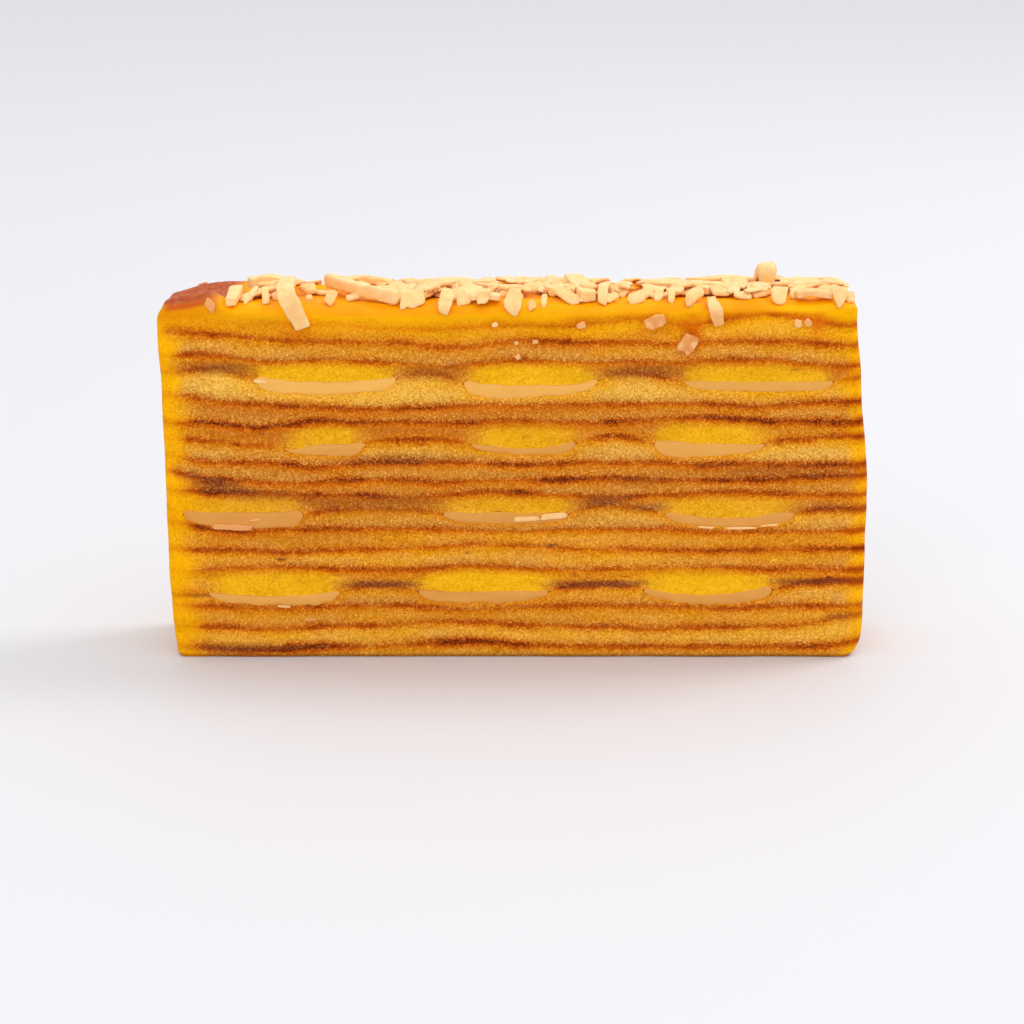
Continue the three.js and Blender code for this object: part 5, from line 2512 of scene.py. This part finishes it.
@dataclass
class Studio:
    """Table, lights and camera."""

    lens: float = 84.375
    sensor: float = 36.0
    away: float = 345.0
    pitch: float = 16.1
    aim_x: float = -0.63
    aim_y: float = 0.87
    aim_z: float = 19.3
    floor_side: float = 8.0
    sky: Colour = tone(243, 243, 246)
    sky_strength: float = 0.8
    light_aim: Triple = (0.0, 0.0, 0.025)
    lights: tuple[Softbox, ...] = (
        Softbox("overhead softbox", (0.3, 0.5, 3.0), 6.0, 72.0),
        Softbox("key softbox", (0.55, 0.22, 0.75), 0.3, 2.6, (1.0, 0.98, 0.95)),
        Softbox("front softbox", (-0.25, -0.95, 0.55), 0.7, 2.5),
    )

    def place_camera(self) -> None:
        """Sets the camera on its stand."""
        data = bpy.data.cameras.new("camera")
        data.lens = self.lens
        data.sensor_width = self.sensor
        data.clip_start = 0.01
        data.clip_end = 50.0
        camera = link(bpy.data.objects.new("camera", data))
        aim = Vector((self.aim_x, self.aim_y, self.aim_z)) * MM
        down = math.radians(self.pitch)
        back = Vector((0.0, -math.cos(down), math.sin(down)))
        camera.location = aim + back * self.away * MM
        camera.rotation_euler = (aim - camera.location).to_track_quat("-Z", "Y").to_euler()
        bpy.context.scene.camera = camera

    def lay_floor(self) -> None:
        """Lays the pale table top."""
        half = self.floor_side / 2 / MM
        corners = np.array([[-half, -half, 0], [half, -half, 0], [half, half, 0],
                            [-half, half, 0]], float)
        top = Skin(corners, np.array([[0, 1, 2, 3]])).to_object("table_top")
        top.data.materials.append(FloorFinish().build())

    def light(self) -> None:
        """Hangs the lights and sets the room's glow."""
        world = bpy.data.worlds.new("studio")
        world.use_nodes = True
        glow = world.node_tree.nodes["Background"]
        glow.inputs["Color"].default_value = self.sky
        glow.inputs["Strength"].default_value = self.sky_strength
        bpy.context.scene.world = world
        for softbox in self.lights:
            softbox.build(Vector(self.light_aim))

    def build(self) -> None:
        """Sets up the whole studio."""
        self.place_camera()
        self.lay_floor()
        self.light()
        settings = bpy.context.scene.view_settings
        settings.view_transform = "Standard"
        settings.look = "None"


# ---- Assembly -----------------------------------------------------------------------------------

STRIP_TONES = {
    1: (0.45, 0.25, 0.2),
    2: (0.1, 0.15, 0.2),
    3: (0.3, 0.2, 0.45),
    4: (0.9, 0.75, 0.45),
}
SHRED_SHAPES = {
    "hanging_bar": {"widen": 1.2, "slant": 0.12, "lift": 0.9, "tall": 1.1},
    "long_curl": {"tall": 2.2, "lift": 0.45, "passes": 14},
    "right_chunk": {"tall": 2.1, "lift": 0.6, "widen": 1.25, "passes": 110, "shift": -1.0},
    "thin_rear": {"tall": 1.5},
    "rear_bar": {"tall": 1.5, "lift": -0.2},
    "right_bar": {"tall": 1.6},
    "rear_sliver": {"tall": 1.5},
    "bent_rod": {"tall": 1.5, "widen": 1.35, "turn": -9.0},
    "broad_flake": {"tall": 1.4},
    "right_front": {"toasted": 0.3},
    "hanging_chip": {"tall": 0.8, "lift": -0.3, "lumps": 0.12, "widen": 0.75, "toasted": 0.35},
    "drip_chunk": {"lumps": 0.16, "tall": 0.86, "toasted": 0.75},
    "drip_crumb": {"lumps": 0.16, "toasted": 0.7},
    "left_stub": {"lift": 0.3, "turn": 12.0, "tall": 1.2},
    "left_heap": {"lift": 0.7, "tall": 1.5},
}


def build_cake() -> None:
    """Builds the layers and the strips between them."""
    sponge = SpongeFinish().build()
    for number in range(1, LOAF.COUNT):
        SpongeLayer(number).build(sponge)
    BrownedTop(LOAF.COUNT).build(BrownedTopFinish().build())
    cheese = StripFinish().build()
    for row, layer in STRIP_LAYERS.items():
        for place, pale in zip(Place, STRIP_TONES[row]):
            CheeseStrip(row, place, layer, pale).build(cheese)


def build_topping() -> None:
    """Builds the grated cheese."""
    grated = GratedFinish().build()
    edge = TopEdge()
    for name in sorted(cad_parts):
        if name.startswith("shred_"):
            shape = SHRED_SHAPES.get(name.removeprefix("shred_"), {})
            GratedShred(name, **shape).build(grated)
            edge.lay_solid(name)
    SmallShreds(edge).build(grated)


def main() -> None:
    """Builds everything in order."""
    logging.basicConfig(level=logging.INFO, format="%(name)s: %(message)s")
    Studio().build()
    build_cake()
    build_topping()


if __name__ == "__main__":
    main()
